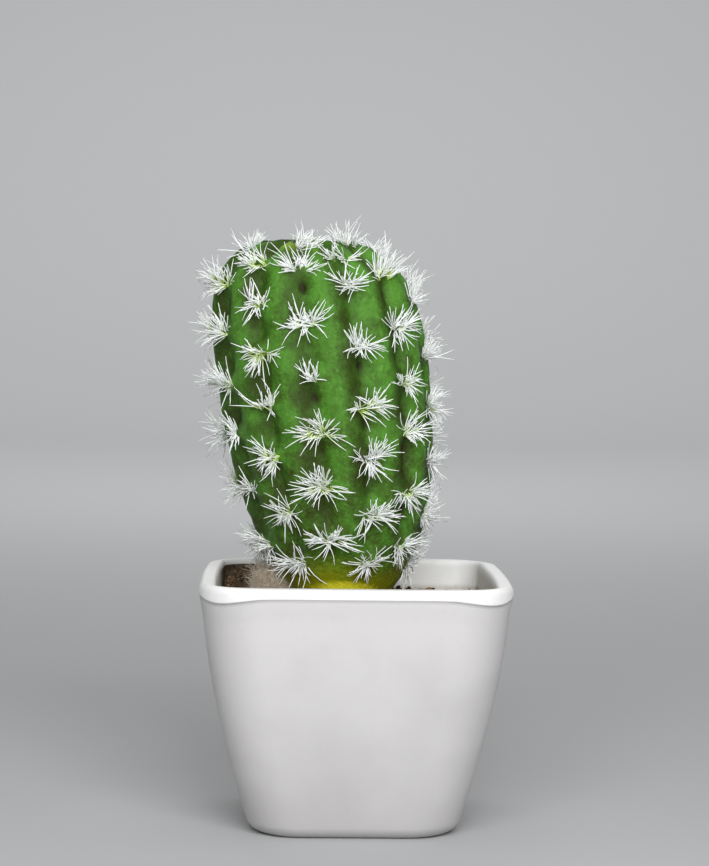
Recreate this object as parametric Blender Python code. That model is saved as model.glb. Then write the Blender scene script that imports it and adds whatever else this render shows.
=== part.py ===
"""Potted cactus: a leaning stem with thirteen furrows and a row of spine tufts in each, planted in
potting soil in a square pot with round corners and a thick lip.

Metres, +Z up. The origin is the centre of the pot's flat base, on the surface that it stands on, and
-Y is the front. Angles round the stem are in degrees, counted from +X towards +Y.
"""

import math

import bmesh
import bpy
import numpy as np
from mathutils import Matrix, Vector, noise

# Clearance between neighbouring solids
GAP = 0.0003

# Pot: driving dimensions. A side bows out: at the rim, a square's corner would lie in by this share
SIDE_BOW = 0.03
RIM_WIDTH = 0.0800
POT_HEIGHT = 0.0646
BASE_WIDTH = 0.0530
RIM_CORNER = 0.0150
BASE_CORNER = 0.0125
BASE_ROUNDING = 0.0032
WALL_BULGE = 1.53
WALL_THICKNESS = 0.0038
FLOOR_THICKNESS = 0.0042
FLOOR_ROUNDING = 0.0060

# Pot lip: how far it stands proud, how deep it is along the sides, and how much deeper at the corners
LIP_PROUD = 0.0005
LIP_DEPTH = 0.0026
LIP_CORNER_EXTRA = 0.0011
LIP_TOP_ROUNDING = 0.0012
LIP_FOOT_ROUNDING = 0.0004

# Points in one ring of the pot and of the soil: an octant holds half a straight side and half a corner
STRAIGHT_STEPS = 3
CORNER_STEPS = 4
OCTANT_STEPS = STRAIGHT_STEPS + CORNER_STEPS
RING_POINTS = 8 * OCTANT_STEPS

# Soil: its level, the mound banked up in the back left corner, and the unevenness of its surface
SOIL_LEVEL = 0.0566
MOUND_CENTRE = (-0.0310, 0.0330)
MOUND_HEIGHT = 0.0060
MOUND_SPREAD = 0.0130
SOIL_ROUGHNESS = 0.0005
SOIL_ROUGH_SCALE = 190.0

# Stem: widest radius and its height, the neck at the soil and the crown
STEM_RADIUS = 0.0280
WIDEST_HEIGHT = 0.1167
CROWN_HEIGHT = 0.1512
NECK_HEIGHT = 0.0607
ROOT_TIP_HEIGHT = 0.0390
BASE_REACH = 0.0630
BASE_POWER = 2.1
CROWN_POWER = 3.2
STEM_CENTRE_X = -0.0037
LEAN_START = 0.0647
LEAN_AT_CROWN = 0.0098
LEAN_POWER = 1.2

# Furrows of the stem
FURROWS = 13
FURROW_PITCH = 360.0 / FURROWS
FIRST_FURROW = -96.0
FURROW_DEPTH = 0.0030
FURROW_SHAPE = 0.75
FURROW_FADE_START = 0.0577
FURROW_FADE_END = 0.0887
CROWN_FADE_RADIUS = 0.0090
POINTS_PER_RIB = 6
STEM_RINGS = 25
ROOT_RINGS = 4

# Spine tufts, in millimetres up the stem's side from the neck. The six rows in front follow the plant,
# tuft by tuft; the seven behind have a first tuft and an even spacing.
TUFTS_IN_FRONT = {
    12: (14.0, 28.7, 43.0, 55.7, 69.1, 81.9, 94.5),
    13: (9.2, 23.5, 38.0, 50.8, 64.3, 76.4, 87.7),
    1: (16.5, 30.3, 44.3, 57.8, 71.5, 86.5, 95.0),
    2: (9.7, 22.7, 37.4, 51.0, 66.0, 81.9, 90.4),
    3: (14.2, 28.6, 44.7, 57.0, 71.1, 84.7, 97.5),
    4: (7.7, 21.7, 35.9, 50.6, 63.5, 77.9, 91.0),
}
FIRST_TUFT_BEHIND = {5: 13.0, 6: 18.2, 7: 10.0, 8: 16.0, 9: 9.0, 10: 14.0, 11: 19.0}
TUFT_PITCH = 0.0137
LAST_TUFT_RADIUS = 0.0115
TUFT_RADIUS = 0.0015
TUFT_LENGTH = 0.0034
SPINE_LENGTH = 0.0046
LINK_RADIUS = 0.0003
LINK_SIDES = 6
LINK_RINGS = 2
SPINE_RISE = 0.85
CROWN_TUFT_RADIUS = 0.0022

# Loose bits of bark on the soil: place, length, turn
BARK_CHIPS = (
    (0.0190, 0.0285, 0.0030, 20.0),
    (0.0262, 0.0300, 0.0024, 75.0),
    (0.0312, 0.0285, 0.0034, -35.0),
    (0.0318, 0.0170, 0.0026, 110.0),
    (0.0235, -0.0180, 0.0032, 50.0),
    (-0.0245, -0.0255, 0.0028, -15.0),
)
CHIP_SHAPE = (0.50, 0.34, 0.24)
CHIP_LUMPS = 0.16


def material(name, colour, roughness, metallic=0.0):
    """A Principled material with one linear colour."""
    made = bpy.data.materials.new(name)
    made.use_nodes = True
    shader = made.node_tree.nodes["Principled BSDF"]
    shader.inputs["Base Color"].default_value = (*colour, 1.0)
    shader.inputs["Roughness"].default_value = roughness
    shader.inputs["Metallic"].default_value = metallic
    return made


def add_object(name, mesh_data, finish, parent=None, sharp_deg=35.0):
    """Turns a bmesh into a named, smooth-shaded object with its material."""
    bmesh.ops.recalc_face_normals(mesh_data, faces=mesh_data.faces)
    if mesh_data.calc_volume(signed=True) < 0.0:
        bmesh.ops.reverse_faces(mesh_data, faces=mesh_data.faces)
    mesh = bpy.data.meshes.new(name)
    mesh_data.to_mesh(mesh)
    mesh_data.free()
    mesh.materials.append(finish)
    mesh.shade_smooth()
    mesh.set_sharp_from_angle(angle=math.radians(sharp_deg))
    made = bpy.data.objects.new(name, mesh)
    bpy.context.scene.collection.objects.link(made)
    made.parent = parent
    return made


def loft(rings, start_point=None, end_point=None):
    """A closed skin over rings of equal count; a point closes an end as a fan, or else one flat face does."""
    made = bmesh.new()
    loops = [[made.verts.new(p) for p in ring] for ring in rings]
    count = len(loops[0])
    for lower, upper in zip(loops, loops[1:]):
        for i in range(count):
            j = (i + 1) % count
            made.faces.new((lower[i], lower[j], upper[j], upper[i]))
    for loop, point in ((loops[0], start_point), (loops[-1], end_point)):
        if point is None:
            made.faces.new(loop)
            continue
        tip = made.verts.new(point)
        for i in range(count):
            made.faces.new((loop[i], loop[(i + 1) % count], tip))
    return made


def smooth(x):
    """0 below 0, 1 above 1, and an S curve between."""
    x = min(max(x, 0.0), 1.0)
    return x * x * (3.0 - 2.0 * x)


# Pot


def octant_point(step, half, corner):
    """Point number step, from a side's middle to a corner's middle, of a rounded square's first octant."""
    if step <= STRAIGHT_STEPS:
        return half, (half - corner) * step / STRAIGHT_STEPS
    turn = math.radians(45.0) * (step - STRAIGHT_STEPS) / CORNER_STEPS
    centre = half - corner
    return centre + corner * math.cos(turn), centre + corner * math.sin(turn)


def square_point(i, half, corner, z):
    """Point i of RING_POINTS on a rounded square at height z, counted from the middle of the +X side. A
    point is drawn in by the square of its distance from its side's middle, and more with height."""
    side, step = divmod(i, 2 * OCTANT_STEPS)
    x, y = octant_point(min(step, 2 * OCTANT_STEPS - step), half, corner)
    if step > OCTANT_STEPS:
        x, y = y, x
    for _ in range(side):
        x, y = -y, x
    bow = SIDE_BOW * z / POT_HEIGHT / half**2
    return x * (1.0 - bow * y * y), y * (1.0 - bow * x * x)


def corner_share(i):
    """0 in the middle of a side and 1 in the middle of a corner, for point i of a ring."""
    step = i % (2 * OCTANT_STEPS)
    off_corner = abs(step - OCTANT_STEPS) / (CORNER_STEPS + 1.0)
    return 1.0 - smooth(off_corner)


def wall_half(z):
    """Half the pot's width outside, at height z, before the base is rounded."""
    share = 1.0 - (1.0 - z / POT_HEIGHT) ** WALL_BULGE
    top = RIM_WIDTH / 2 - LIP_PROUD
    return BASE_WIDTH / 2 + (top - BASE_WIDTH / 2) * share


def wall_corner(z):
    """Radius of the pot's corners outside, at height z."""
    return BASE_CORNER + (RIM_CORNER - BASE_CORNER) * z / POT_HEIGHT


def cavity_half(z):
    """Half the width of the pot's inside at height z, above its rounded floor edge."""
    return wall_half(z) - WALL_THICKNESS


def cavity_corner(z):
    """Radius of the inside's corners at height z."""
    return wall_corner(z) - 0.8 * WALL_THICKNESS


def square_ring(half, corner, z):
    """A level ring; z is one height, or a function of the point's number."""
    heights = [z(i) if callable(z) else z for i in range(RING_POINTS)]
    return [(*square_point(i, half, corner, height), height) for i, height in enumerate(heights)]


def lip_foot(i, above=0.0):
    """Height of the lip's lower edge, which dips at the corners, plus a rise."""
    return POT_HEIGHT - LIP_DEPTH - LIP_CORNER_EXTRA * corner_share(i) + above


def pot_outside():
    """Rings from the flat base up to the lip's lower edge."""
    rings = []
    for turn in (0.0, 25.0, 50.0, 72.0, 90.0):
        z = BASE_ROUNDING * (1.0 - math.cos(math.radians(turn)))
        inset = BASE_ROUNDING * (1.0 - math.sin(math.radians(turn)))
        rings.append(square_ring(wall_half(z) - inset, wall_corner(z) - 0.6 * inset, z))
    wall_steps = 6
    for step in range(1, wall_steps + 1):
        share = step / wall_steps
        ring = []
        for i in range(RING_POINTS):
            z = BASE_ROUNDING + (lip_foot(i) - BASE_ROUNDING) * share
            ring.append((*square_point(i, wall_half(z), wall_corner(z), z), z))
        rings.append(ring)
    return rings


def pot_lip():
    """Rings over the lip: its rounded foot, its face, its rounded top and the inner edge."""
    outer = RIM_WIDTH / 2
    inner = cavity_half(POT_HEIGHT)
    top_round = LIP_TOP_ROUNDING
    rings = [
        square_ring(outer - 0.3 * LIP_FOOT_ROUNDING, RIM_CORNER, lambda i: lip_foot(i, LIP_FOOT_ROUNDING)),
        square_ring(outer, RIM_CORNER, lambda i: lip_foot(i, 2.5 * LIP_FOOT_ROUNDING)),
    ]
    for turn in (0.0, 30.0, 60.0, 90.0):
        inset = top_round * (1.0 - math.cos(math.radians(turn)))
        z = POT_HEIGHT - top_round * (1.0 - math.sin(math.radians(turn)))
        rings.append(square_ring(outer - inset, RIM_CORNER - inset, z))
    for turn in (90.0, 45.0, 0.0):
        inset = top_round * (1.0 - math.cos(math.radians(turn)))
        z = POT_HEIGHT - top_round * (1.0 - math.sin(math.radians(turn)))
        rings.append(square_ring(inner + inset, cavity_corner(POT_HEIGHT) + inset, z))
    return rings


def floor_edge_ring(turn_deg, gap):
    """A ring on the rounded edge between the inner wall, at 0 degrees, and the floor, at 90 degrees."""
    turn = math.radians(turn_deg)
    z = FLOOR_THICKNESS + FLOOR_ROUNDING * (1.0 - math.sin(turn))
    inset = FLOOR_ROUNDING * (1.0 - math.cos(turn))
    return square_ring(cavity_half(z) - inset - gap, cavity_corner(z) - 0.6 * inset, z + gap)


def pot_inside():
    """Rings down the inner wall and round the floor's edge."""
    rings = []
    wall_top = POT_HEIGHT - 2.0 * LIP_TOP_ROUNDING
    wall_foot = FLOOR_THICKNESS + FLOOR_ROUNDING
    wall_steps = 4
    for step in range(wall_steps):
        z = wall_top + (wall_foot - wall_top) * step / wall_steps
        rings.append(square_ring(cavity_half(z), cavity_corner(z), z))
    return rings + [floor_edge_ring(turn, 0.0) for turn in (0.0, 30.0, 60.0, 90.0)]


def build_pot(parent):
    """The pot: one thick-walled shell, open at the top, with a flat base."""
    skin = loft(pot_outside() + pot_lip() + pot_inside())
    return add_object("pot", skin, material("white_glaze", (0.83, 0.82, 0.81), 0.35), parent)


# Soil


def soil_height(x, y):
    """Height of the soil's surface: a level bed, a mound in one corner, and small unevenness."""
    off = math.hypot(x - MOUND_CENTRE[0], y - MOUND_CENTRE[1]) / MOUND_SPREAD
    mound = MOUND_HEIGHT * math.exp(-off * off)
    rough = SOIL_ROUGHNESS * noise.noise(Vector((x, y, 0.0)) * SOIL_ROUGH_SCALE)
    return SOIL_LEVEL + mound + rough


def soil_side_point(i, z):
    """Point i of the soil's side at height z, a gap clear of the pot."""
    return (*square_point(i, cavity_half(z) - GAP, cavity_corner(z), z), z)


def soil_edge_height(i):
    """Height at which the soil's surface meets the pot, at point i."""
    x, y, _ = soil_side_point(i, SOIL_LEVEL)
    return soil_height(x, y)


def stem_hole_point(i, z):
    """Point i of the hollow that holds the buried stem, at height z."""
    turn = 2.0 * math.pi * i / RING_POINTS
    radius = neck_radius(z) + 2.0 * GAP
    return STEM_CENTRE_X + radius * math.cos(turn), radius * math.sin(turn), z


def build_soil(parent):
    """The potting soil: it fills the pot to the level, and has a hollow where the stem stands in it."""
    rings = [floor_edge_ring(turn, GAP) for turn in (90.0, 60.0, 30.0, 0.0)]
    side_foot = FLOOR_THICKNESS + FLOOR_ROUNDING + GAP
    for share in (0.25, 0.5, 0.75, 1.0):
        heights = [side_foot + (soil_edge_height(i) - side_foot) * share for i in range(RING_POINTS)]
        rings.append([soil_side_point(i, z) for i, z in enumerate(heights)])
    for share in (0.86, 0.70, 0.54, 0.38, 0.22, 0.08, 0.0):
        ring = []
        for i in range(RING_POINTS):
            edge = soil_side_point(i, soil_edge_height(i))
            hole = stem_hole_point(i, SOIL_LEVEL)
            x = hole[0] + (edge[0] - hole[0]) * share
            y = hole[1] + (edge[1] - hole[1]) * share
            ring.append((x, y, soil_height(x, y)))
        rings.append(ring)
    for share in (0.25, 0.5, 0.75, 1.0):
        z = SOIL_LEVEL - 0.0010 - (SOIL_LEVEL - 0.0010 - ROOT_TIP_HEIGHT) * share
        rings.append([stem_hole_point(i, z) for i in range(RING_POINTS)])
    tip = (STEM_CENTRE_X, 0.0, ROOT_TIP_HEIGHT - 3.0 * GAP)
    skin = loft(rings, end_point=tip)
    return add_object("soil", skin, material("potting_soil", (0.055, 0.035, 0.022), 0.95), parent)


# Stem


def neck_radius(z):
    """Radius of the smooth buried stem: it narrows from the neck down to the blunt root tip."""
    depth = (NECK_HEIGHT - z) / (NECK_HEIGHT - ROOT_TIP_HEIGHT)
    return body_radius(NECK_HEIGHT) * math.sqrt(1.0 - 0.78 * max(depth, 0.0) ** 2)


def body_radius(z):
    """Radius to the rib crests at height z, between the neck and the widest height."""
    share = (WIDEST_HEIGHT - z) / BASE_REACH
    return STEM_RADIUS * (1.0 - share**BASE_POWER) ** (1.0 / BASE_POWER)


def meridian():
    """(radius, height) along the stem's side, from the root tip to the crown, evenly spaced and dense."""
    buried = [(neck_radius(z), z) for z in np.linspace(ROOT_TIP_HEIGHT, NECK_HEIGHT, 60)[:-1]]
    body = [(body_radius(z), z) for z in np.linspace(NECK_HEIGHT, WIDEST_HEIGHT, 160)]
    crown = []
    for turn in np.linspace(0.0, math.pi / 2, 200)[1:]:
        radius = STEM_RADIUS * max(math.cos(turn), 0.0) ** (2.0 / CROWN_POWER)
        rise = (CROWN_HEIGHT - WIDEST_HEIGHT) * math.sin(turn) ** (2.0 / CROWN_POWER)
        crown.append((radius, WIDEST_HEIGHT + rise))
    return np.array(buried + body + crown)


PROFILE = meridian()
PROFILE_LENGTH = np.concatenate([[0.0], np.cumsum(np.linalg.norm(np.diff(PROFILE, axis=0), axis=1))])


def length_at_height(z):
    """Length along the meridian at which the side, below the crown, has height z."""
    return float(np.interp(z, PROFILE[:, 1], PROFILE_LENGTH))


def length_at_crown_radius(radius):
    """Length along the meridian at which the crown has this radius."""
    widest = int(np.argmax(PROFILE[:, 0]))
    return float(np.interp(-radius, -PROFILE[widest:, 0], PROFILE_LENGTH[widest:]))


def profile_at(length):
    """(radius, height, outward normal's two parts) at a length along the meridian."""
    step = 0.0004
    ends = np.clip([length - step, length + step], 0.0, PROFILE_LENGTH[-1])
    r0, r1 = np.interp(ends, PROFILE_LENGTH, PROFILE[:, 0])
    z0, z1 = np.interp(ends, PROFILE_LENGTH, PROFILE[:, 1])
    span = math.hypot(r1 - r0, z1 - z0)
    radius = float(np.interp(length, PROFILE_LENGTH, PROFILE[:, 0]))
    height = float(np.interp(length, PROFILE_LENGTH, PROFILE[:, 1]))
    return radius, height, float(z1 - z0) / span, -float(r1 - r0) / span


def lean(z):
    """How far the stem's centre line has moved towards -X at height z."""
    share = max(0.0, z - LEAN_START) / (CROWN_HEIGHT - LEAN_START)
    return LEAN_AT_CROWN * share**LEAN_POWER


def furrow_depth(radius, z):
    """Depth of the furrows below the rib crests."""
    fade_in = smooth((z - FURROW_FADE_START) / (FURROW_FADE_END - FURROW_FADE_START))
    fade_out = smooth(radius / CROWN_FADE_RADIUS) if z > WIDEST_HEIGHT else 1.0
    return FURROW_DEPTH * fade_in * fade_out


def stem_point(angle_deg, length, rise=0.0):
    """A point of the stem's surface, raised along its normal, and that normal."""
    radius, z, normal_r, normal_z = profile_at(length)
    rib = abs(math.sin(math.radians((angle_deg - FIRST_FURROW) * FURROWS / 2.0)))
    sink = furrow_depth(radius, z) * (1.0 - rib**FURROW_SHAPE) - rise
    turn = math.radians(angle_deg)
    out = Vector((math.cos(turn), math.sin(turn), 0.0))
    place = Vector((STEM_CENTRE_X - lean(z), 0.0, z)) + out * radius
    normal = out * normal_r + Vector((0.0, 0.0, normal_z))
    return place - normal * sink, normal


def build_stem(parent):
    """The cactus's stem with its buried end, grown as one piece."""
    neck_length = length_at_height(NECK_HEIGHT)
    whole = float(PROFILE_LENGTH[-1])
    lengths = [neck_length * i / ROOT_RINGS for i in range(ROOT_RINGS)]
    lengths += [neck_length + (whole - neck_length) * i / STEM_RINGS for i in range(STEM_RINGS)]
    angles = [360.0 * i / (FURROWS * POINTS_PER_RIB) + FIRST_FURROW for i in range(FURROWS * POINTS_PER_RIB)]
    rings = [[stem_point(angle, length)[0] for angle in angles] for length in lengths]
    apex = (STEM_CENTRE_X - lean(CROWN_HEIGHT), 0.0, CROWN_HEIGHT)
    root = (STEM_CENTRE_X, 0.0, ROOT_TIP_HEIGHT - GAP)
    skin = loft(rings, start_point=root, end_point=apex)
    return add_object("cactus_stem", skin, material("cactus_skin", (0.075, 0.19, 0.045), 0.55), parent)


# Spines


def tuft_lengths(row):
    """Lengths along the meridian of the tufts in a row, from the lowest to the crown."""
    neck = length_at_height(NECK_HEIGHT)
    if row in TUFTS_IN_FRONT:
        return [neck + place / 1000.0 for place in TUFTS_IN_FRONT[row]]
    first = neck + FIRST_TUFT_BEHIND[row] / 1000.0
    last = length_at_crown_radius(LAST_TUFT_RADIUS)
    count = 1 + int((last - first) / TUFT_PITCH)
    return [first + TUFT_PITCH * i for i in range(count)]


def clear_rise(angle_deg, length, radius):
    """How high above the furrow's bottom a round body of this radius clears both of its sides."""
    step = 360.0 / (FURROWS * POINTS_PER_RIB)
    bottom, _ = stem_point(angle_deg, length)
    flank, _ = stem_point(angle_deg + step, length)
    crest, normal = stem_point(angle_deg + FURROW_PITCH / 2, length)
    depth = (crest - bottom).dot(normal)
    climb = max((flank - bottom).dot(normal), 0.0)
    run = (flank - bottom).length
    slope_cosine = math.sqrt(max(1.0 - (climb / run) ** 2, 0.05))
    return min((radius + 1.4 * GAP) / slope_cosine, depth + radius + 1.4 * GAP)


def ring_about(centre, along, outward, radius):
    """A ring of LINK_SIDES points round a centre, square to along."""
    side = along.cross(outward).normalized()
    up = side.cross(along).normalized()
    points = []
    for i in range(LINK_SIDES):
        turn = 2.0 * math.pi * (i + 0.5) / LINK_SIDES
        points.append(centre + (side * math.cos(turn) + up * math.sin(turn)) * radius)
    return points


def spike_tufts(skin, tufts):
    """Draws each outward face of a tuft's cushion out into one spine."""
    for face in list(skin.faces):
        middle = face.calc_center_median()
        centre, outward = min(tufts, key=lambda tuft: (tuft[0] - middle).length)
        if (middle - centre).length > 0.75 * TUFT_LENGTH or len(face.verts) != 4:
            continue
        away = (middle - centre).normalized()
        if away.dot(outward) < -0.1:
            continue
        direction = (away + outward * SPINE_RISE).normalized()
        tip = bmesh.ops.poke(skin, faces=[face])["verts"][0]
        tip.co = centre + direction * SPINE_LENGTH


def build_spine_row(row, finish, parent):
    """The tufts of one furrow, joined where their longest spines cross between them."""
    angle = FIRST_FURROW + FURROW_PITCH * (row - 1)
    lengths = tuft_lengths(row)
    stations = []
    for number, length in enumerate(lengths):
        for offset, radius in ((-0.5, 0.55), (0.0, 1.0), (0.5, 0.55)):
            stations.append((length + offset * TUFT_LENGTH, radius * TUFT_RADIUS))
        if number + 1 < len(lengths):
            free = lengths[number + 1] - length - TUFT_LENGTH
            for ring in range(LINK_RINGS):
                share = (0.4 + ring) / (LINK_RINGS - 0.2)
                stations.append((length + TUFT_LENGTH / 2 + free * share, LINK_RADIUS))
    centres, normals = [], []
    for length, radius in stations:
        place, normal = stem_point(angle, length, rise=clear_rise(angle, length, radius))
        centres.append(place)
        normals.append(normal)
    rings = []
    for i, (_, radius) in enumerate(stations):
        before, after = centres[max(i - 1, 0)], centres[min(i + 1, len(centres) - 1)]
        rings.append(ring_about(centres[i], (after - before).normalized(), normals[i], radius))
    skin = loft(rings)
    bmesh.ops.recalc_face_normals(skin, faces=skin.faces)
    per_tuft = 3 + LINK_RINGS
    tufts = [(centres[per_tuft * i + 1], normals[per_tuft * i + 1]) for i in range(len(lengths))]
    spike_tufts(skin, tufts)
    return add_object(f"spine_row_{row:02d}", skin, finish, parent, sharp_deg=20.0)


def build_crown_tuft(finish, parent):
    """The young spines on top of the crown."""
    centre = Vector((STEM_CENTRE_X - lean(CROWN_HEIGHT), 0.0, CROWN_HEIGHT + GAP))
    skin = bmesh.new()
    bmesh.ops.create_icosphere(skin, subdivisions=1, radius=CROWN_TUFT_RADIUS)
    low = [v for v in skin.verts if v.co.z < 0.0]
    for vert in low:
        vert.co.z = 0.0
    bmesh.ops.remove_doubles(skin, verts=skin.verts, dist=1e-6)
    for vert in skin.verts:
        vert.co += centre
    for face in list(skin.faces):
        normal = (face.calc_center_median() - centre).normalized()
        if normal.z < 0.30:
            continue
        tip = bmesh.ops.poke(skin, faces=[face])["verts"][0]
        tip.co = centre + normal * SPINE_LENGTH
    return add_object("crown_tuft", skin, finish, parent, sharp_deg=20.0)


# Loose bark


def build_bark_chip(number, place, finish, parent):
    """One bit of bark lying on the soil."""
    x, y, length, turn = place
    skin = bmesh.new()
    bmesh.ops.create_icosphere(skin, subdivisions=1, radius=1.0)
    for vert in skin.verts:
        lump = 1.0 + CHIP_LUMPS * noise.noise(vert.co * 1.7 + Vector((number * 3.1, 0.0, 0.0)))
        vert.co = Vector([c * share * lump * length for c, share in zip(vert.co, CHIP_SHAPE)])
    bmesh.ops.transform(skin, matrix=Matrix.Rotation(math.radians(turn), 4, "Z"), verts=skin.verts)
    lift = max(soil_height(x + v.co.x, y + v.co.y) - v.co.z for v in skin.verts)
    bmesh.ops.translate(skin, vec=(x, y, lift + GAP), verts=skin.verts)
    return add_object(f"bark_chip_{number + 1}", skin, finish, parent)


def clear_scene():
    """Takes every object out of the scene that the file opens with."""
    for old in list(bpy.data.objects):
        bpy.data.objects.remove(old)


def build_potted_cactus():
    """Builds every piece under one empty at the origin."""
    clear_scene()
    root = bpy.data.objects.new("potted_cactus", None)
    bpy.context.scene.collection.objects.link(root)
    build_pot(root)
    build_soil(root)
    build_stem(root)
    spines = material("dry_spine", (0.80, 0.84, 0.78), 0.6)
    for row in range(1, FURROWS + 1):
        build_spine_row(row, spines, root)
    build_crown_tuft(spines, root)
    bark = material("bark_chip", (0.22, 0.13, 0.06), 0.9)
    for number, place in enumerate(BARK_CHIPS):
        build_bark_chip(number, place, bark, root)


build_potted_cactus()
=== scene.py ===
"""Finished surfaces of a potted cactus: a leaning, furrowed stem with tufts of white bristles, planted in
potting soil in a square pot with round corners.

Metres, +Z up, with the origin in the middle of the pot's base and the front towards -Y. Each piece is a
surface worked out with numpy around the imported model. Angles round the stem count from +X towards +Y.
"""

import itertools
import math

import bpy
import numpy as np
from bpy.props import FloatProperty, FloatVectorProperty, IntProperty, PointerProperty, StringProperty
from mathutils import Matrix, Vector


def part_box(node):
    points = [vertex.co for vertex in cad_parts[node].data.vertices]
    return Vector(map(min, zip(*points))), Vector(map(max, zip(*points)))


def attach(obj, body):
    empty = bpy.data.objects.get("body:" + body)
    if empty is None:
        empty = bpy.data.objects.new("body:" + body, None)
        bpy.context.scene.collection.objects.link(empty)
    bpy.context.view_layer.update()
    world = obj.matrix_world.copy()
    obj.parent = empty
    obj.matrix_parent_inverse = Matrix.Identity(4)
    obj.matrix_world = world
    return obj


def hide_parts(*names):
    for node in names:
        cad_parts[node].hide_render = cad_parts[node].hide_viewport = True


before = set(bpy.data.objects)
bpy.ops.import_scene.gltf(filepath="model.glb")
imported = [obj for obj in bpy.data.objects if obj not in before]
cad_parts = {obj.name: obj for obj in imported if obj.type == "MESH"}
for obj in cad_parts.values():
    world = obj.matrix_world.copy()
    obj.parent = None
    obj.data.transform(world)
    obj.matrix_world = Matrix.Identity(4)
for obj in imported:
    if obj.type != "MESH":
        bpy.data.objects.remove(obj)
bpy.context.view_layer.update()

bl_info = {
    "name": "Potted cactus",
    "version": (1, 0, 0),
    "blender": (4, 5, 0),
    "location": "View3D > Sidebar > Potted cactus",
    "description": "Builds the finished surfaces of a potted cactus",
    "category": "Object",
}

MM = 0.001

# Pot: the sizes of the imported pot
POT_LOW, POT_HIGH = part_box("pot")
RIM_HALF = POT_HIGH[0]
POT_HEIGHT = POT_HIGH[2]
BASE_HALF = 26.5 * MM
RIM_CORNER = 15.0 * MM
BASE_CORNER = 12.5 * MM
BASE_ROUNDING = 3.2 * MM
WALL_BULGE = 1.53
WALL_THICKNESS = 3.8 * MM
FLOOR_THICKNESS = 4.2 * MM
FLOOR_ROUNDING = 6.0 * MM
LIP_PROUD = 0.5 * MM
LIP_DEPTH = 2.45 * MM
LIP_CORNER_EXTRA = 1.7 * MM
LIP_FOOT_ROUNDING = 0.35 * MM
LIP_OUTER_ROUNDING = (1.3 * MM, 1.9 * MM)
LIP_INNER_ROUNDING = (1.1 * MM, 1.5 * MM)
SIDE_BOW = 0.03
INNER_CORNER = 6.0 * MM
WALL_FLARE = 0.48 * MM
SIDE_STEPS = 18
CORNER_STEPS = 16

# Soil: the sizes of the packed soil, and the grain of its surface
SOIL_LEVEL = 56.6 * MM
MOUND_PLACE = (-31.0 * MM, 33.0 * MM)
MOUND_HEIGHT = 6.0 * MM
MOUND_SPREAD = 13.0 * MM
WALL_GAP = 0.05 * MM
SOIL_RINGS = 64

# Stem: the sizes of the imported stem
STEM_RADIUS = 28.0 * MM
WIDEST_HEIGHT = 116.7 * MM
CROWN_HEIGHT = 151.2 * MM
NECK_HEIGHT = 60.7 * MM
ROOT_TIP_HEIGHT = 39.0 * MM
BASE_REACH = 63.0 * MM
BASE_POWER = 2.1
CROWN_POWER = 3.2
STEM_CENTRE_X = -3.7 * MM
LEAN_START = 64.7 * MM
LEAN_AT_CROWN = 9.8 * MM
LEAN_POWER = 1.2
FURROWS = 13
FURROW_PITCH = 360.0 / FURROWS
FIRST_FURROW = -96.0
FURROW_SHAPE = 0.85
FURROW_ROUNDING = 0.60
FURROW_FADE = (57.7 * MM, 88.7 * MM)
CROWN_FADE_RADIUS = 9.0 * MM
POINTS_PER_RIB = 32
STEM_RINGS = 228
ROOT_RINGS = 10

# Tufts: how far up the side from the neck each stands. The six rows in front follow the plant; the
# seven behind start at their own height and go on at an even pitch.
TUFTS_IN_FRONT = {
    12: (14.0, 28.7, 43.0, 55.7, 69.1, 81.9, 94.5),
    13: (9.2, 23.5, 38.0, 50.8, 64.3, 76.4, 87.7),
    1: (16.5, 30.3, 44.3, 57.8, 71.5, 86.5, 95.0),
    2: (9.7, 22.7, 37.4, 51.0, 66.0, 81.9, 90.4),
    3: (14.2, 28.6, 44.7, 57.0, 71.1, 84.7, 97.5),
    4: (7.7, 21.7, 35.9, 50.6, 63.5, 77.9, 91.0),
}
FIRST_TUFT_BEHIND = {5: 13.0, 6: 18.2, 7: 10.0, 8: 16.0, 9: 9.0, 10: 14.0, 11: 14.6}
TUFT_PITCH = 13.7
LAST_TUFT_BEHIND = 99.0
TUFT_JITTER = 0.9
GROWTH_PLACES = ((-108.0, 96.0), (-84.0, 97.0))
CROWN_TUFT_PLACES = ((75.0, 4.0),)
DEEP_PIT = (1, 6)
SPARSE_TUFT = (1, 3, 0.45)

# Bristles
BRISTLE_RINGS = 5
BRISTLE_SIDES = 4
# Ways that a tuft's bundles point, in degrees round the skin from its right: mean, spread, the spot that
# they grow from as a share of the tuft's half width, and the share of all bundles
BRUSHED = (
    (52.0, 26.0, 0.9, 0.24),
    (128.0, 26.0, -0.9, 0.24),
    (0.0, 24.0, 1.0, 0.15),
    (180.0, 24.0, -1.0, 0.15),
    (-90.0, 36.0, 0.0, 0.16),
    (90.0, 22.0, 0.0, 0.06),
)

# Loose bits of bark on the soil: place, length and turn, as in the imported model
BARK_CHIPS = (
    (19.0, 28.5, 3.0, 20.0),
    (26.2, 30.0, 2.4, 75.0),
    (31.2, 28.5, 3.4, -35.0),
    (31.8, 17.0, 2.6, 110.0),
    (23.5, -18.0, 3.2, 50.0),
    (-24.5, -25.5, 2.8, -15.0),
)
CHIP_SHAPE = (0.50, 0.34, 0.24)

# Wad of coir pressed against the foot of the stem
WAD_PLACE = np.array((-21.6, -3.0, 61.6)) * MM
WAD_RADII = np.array((4.9, 4.6, 5.6)) * MM

# Camera: where the photograph was taken from
CAMERA_PLACE = (-14.262 * MM, -595.022 * MM, 129.008 * MM)
CAMERA_YAW = 1.334
CAMERA_PITCH = 2.67
CAMERA_ROLL = -0.675
FOCAL_LENGTH = 94.92

# Sockets of a Mix node that mixes colours
MIX_FACTOR, MIX_A, MIX_B, MIXED = 0, 6, 7, 2


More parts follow.
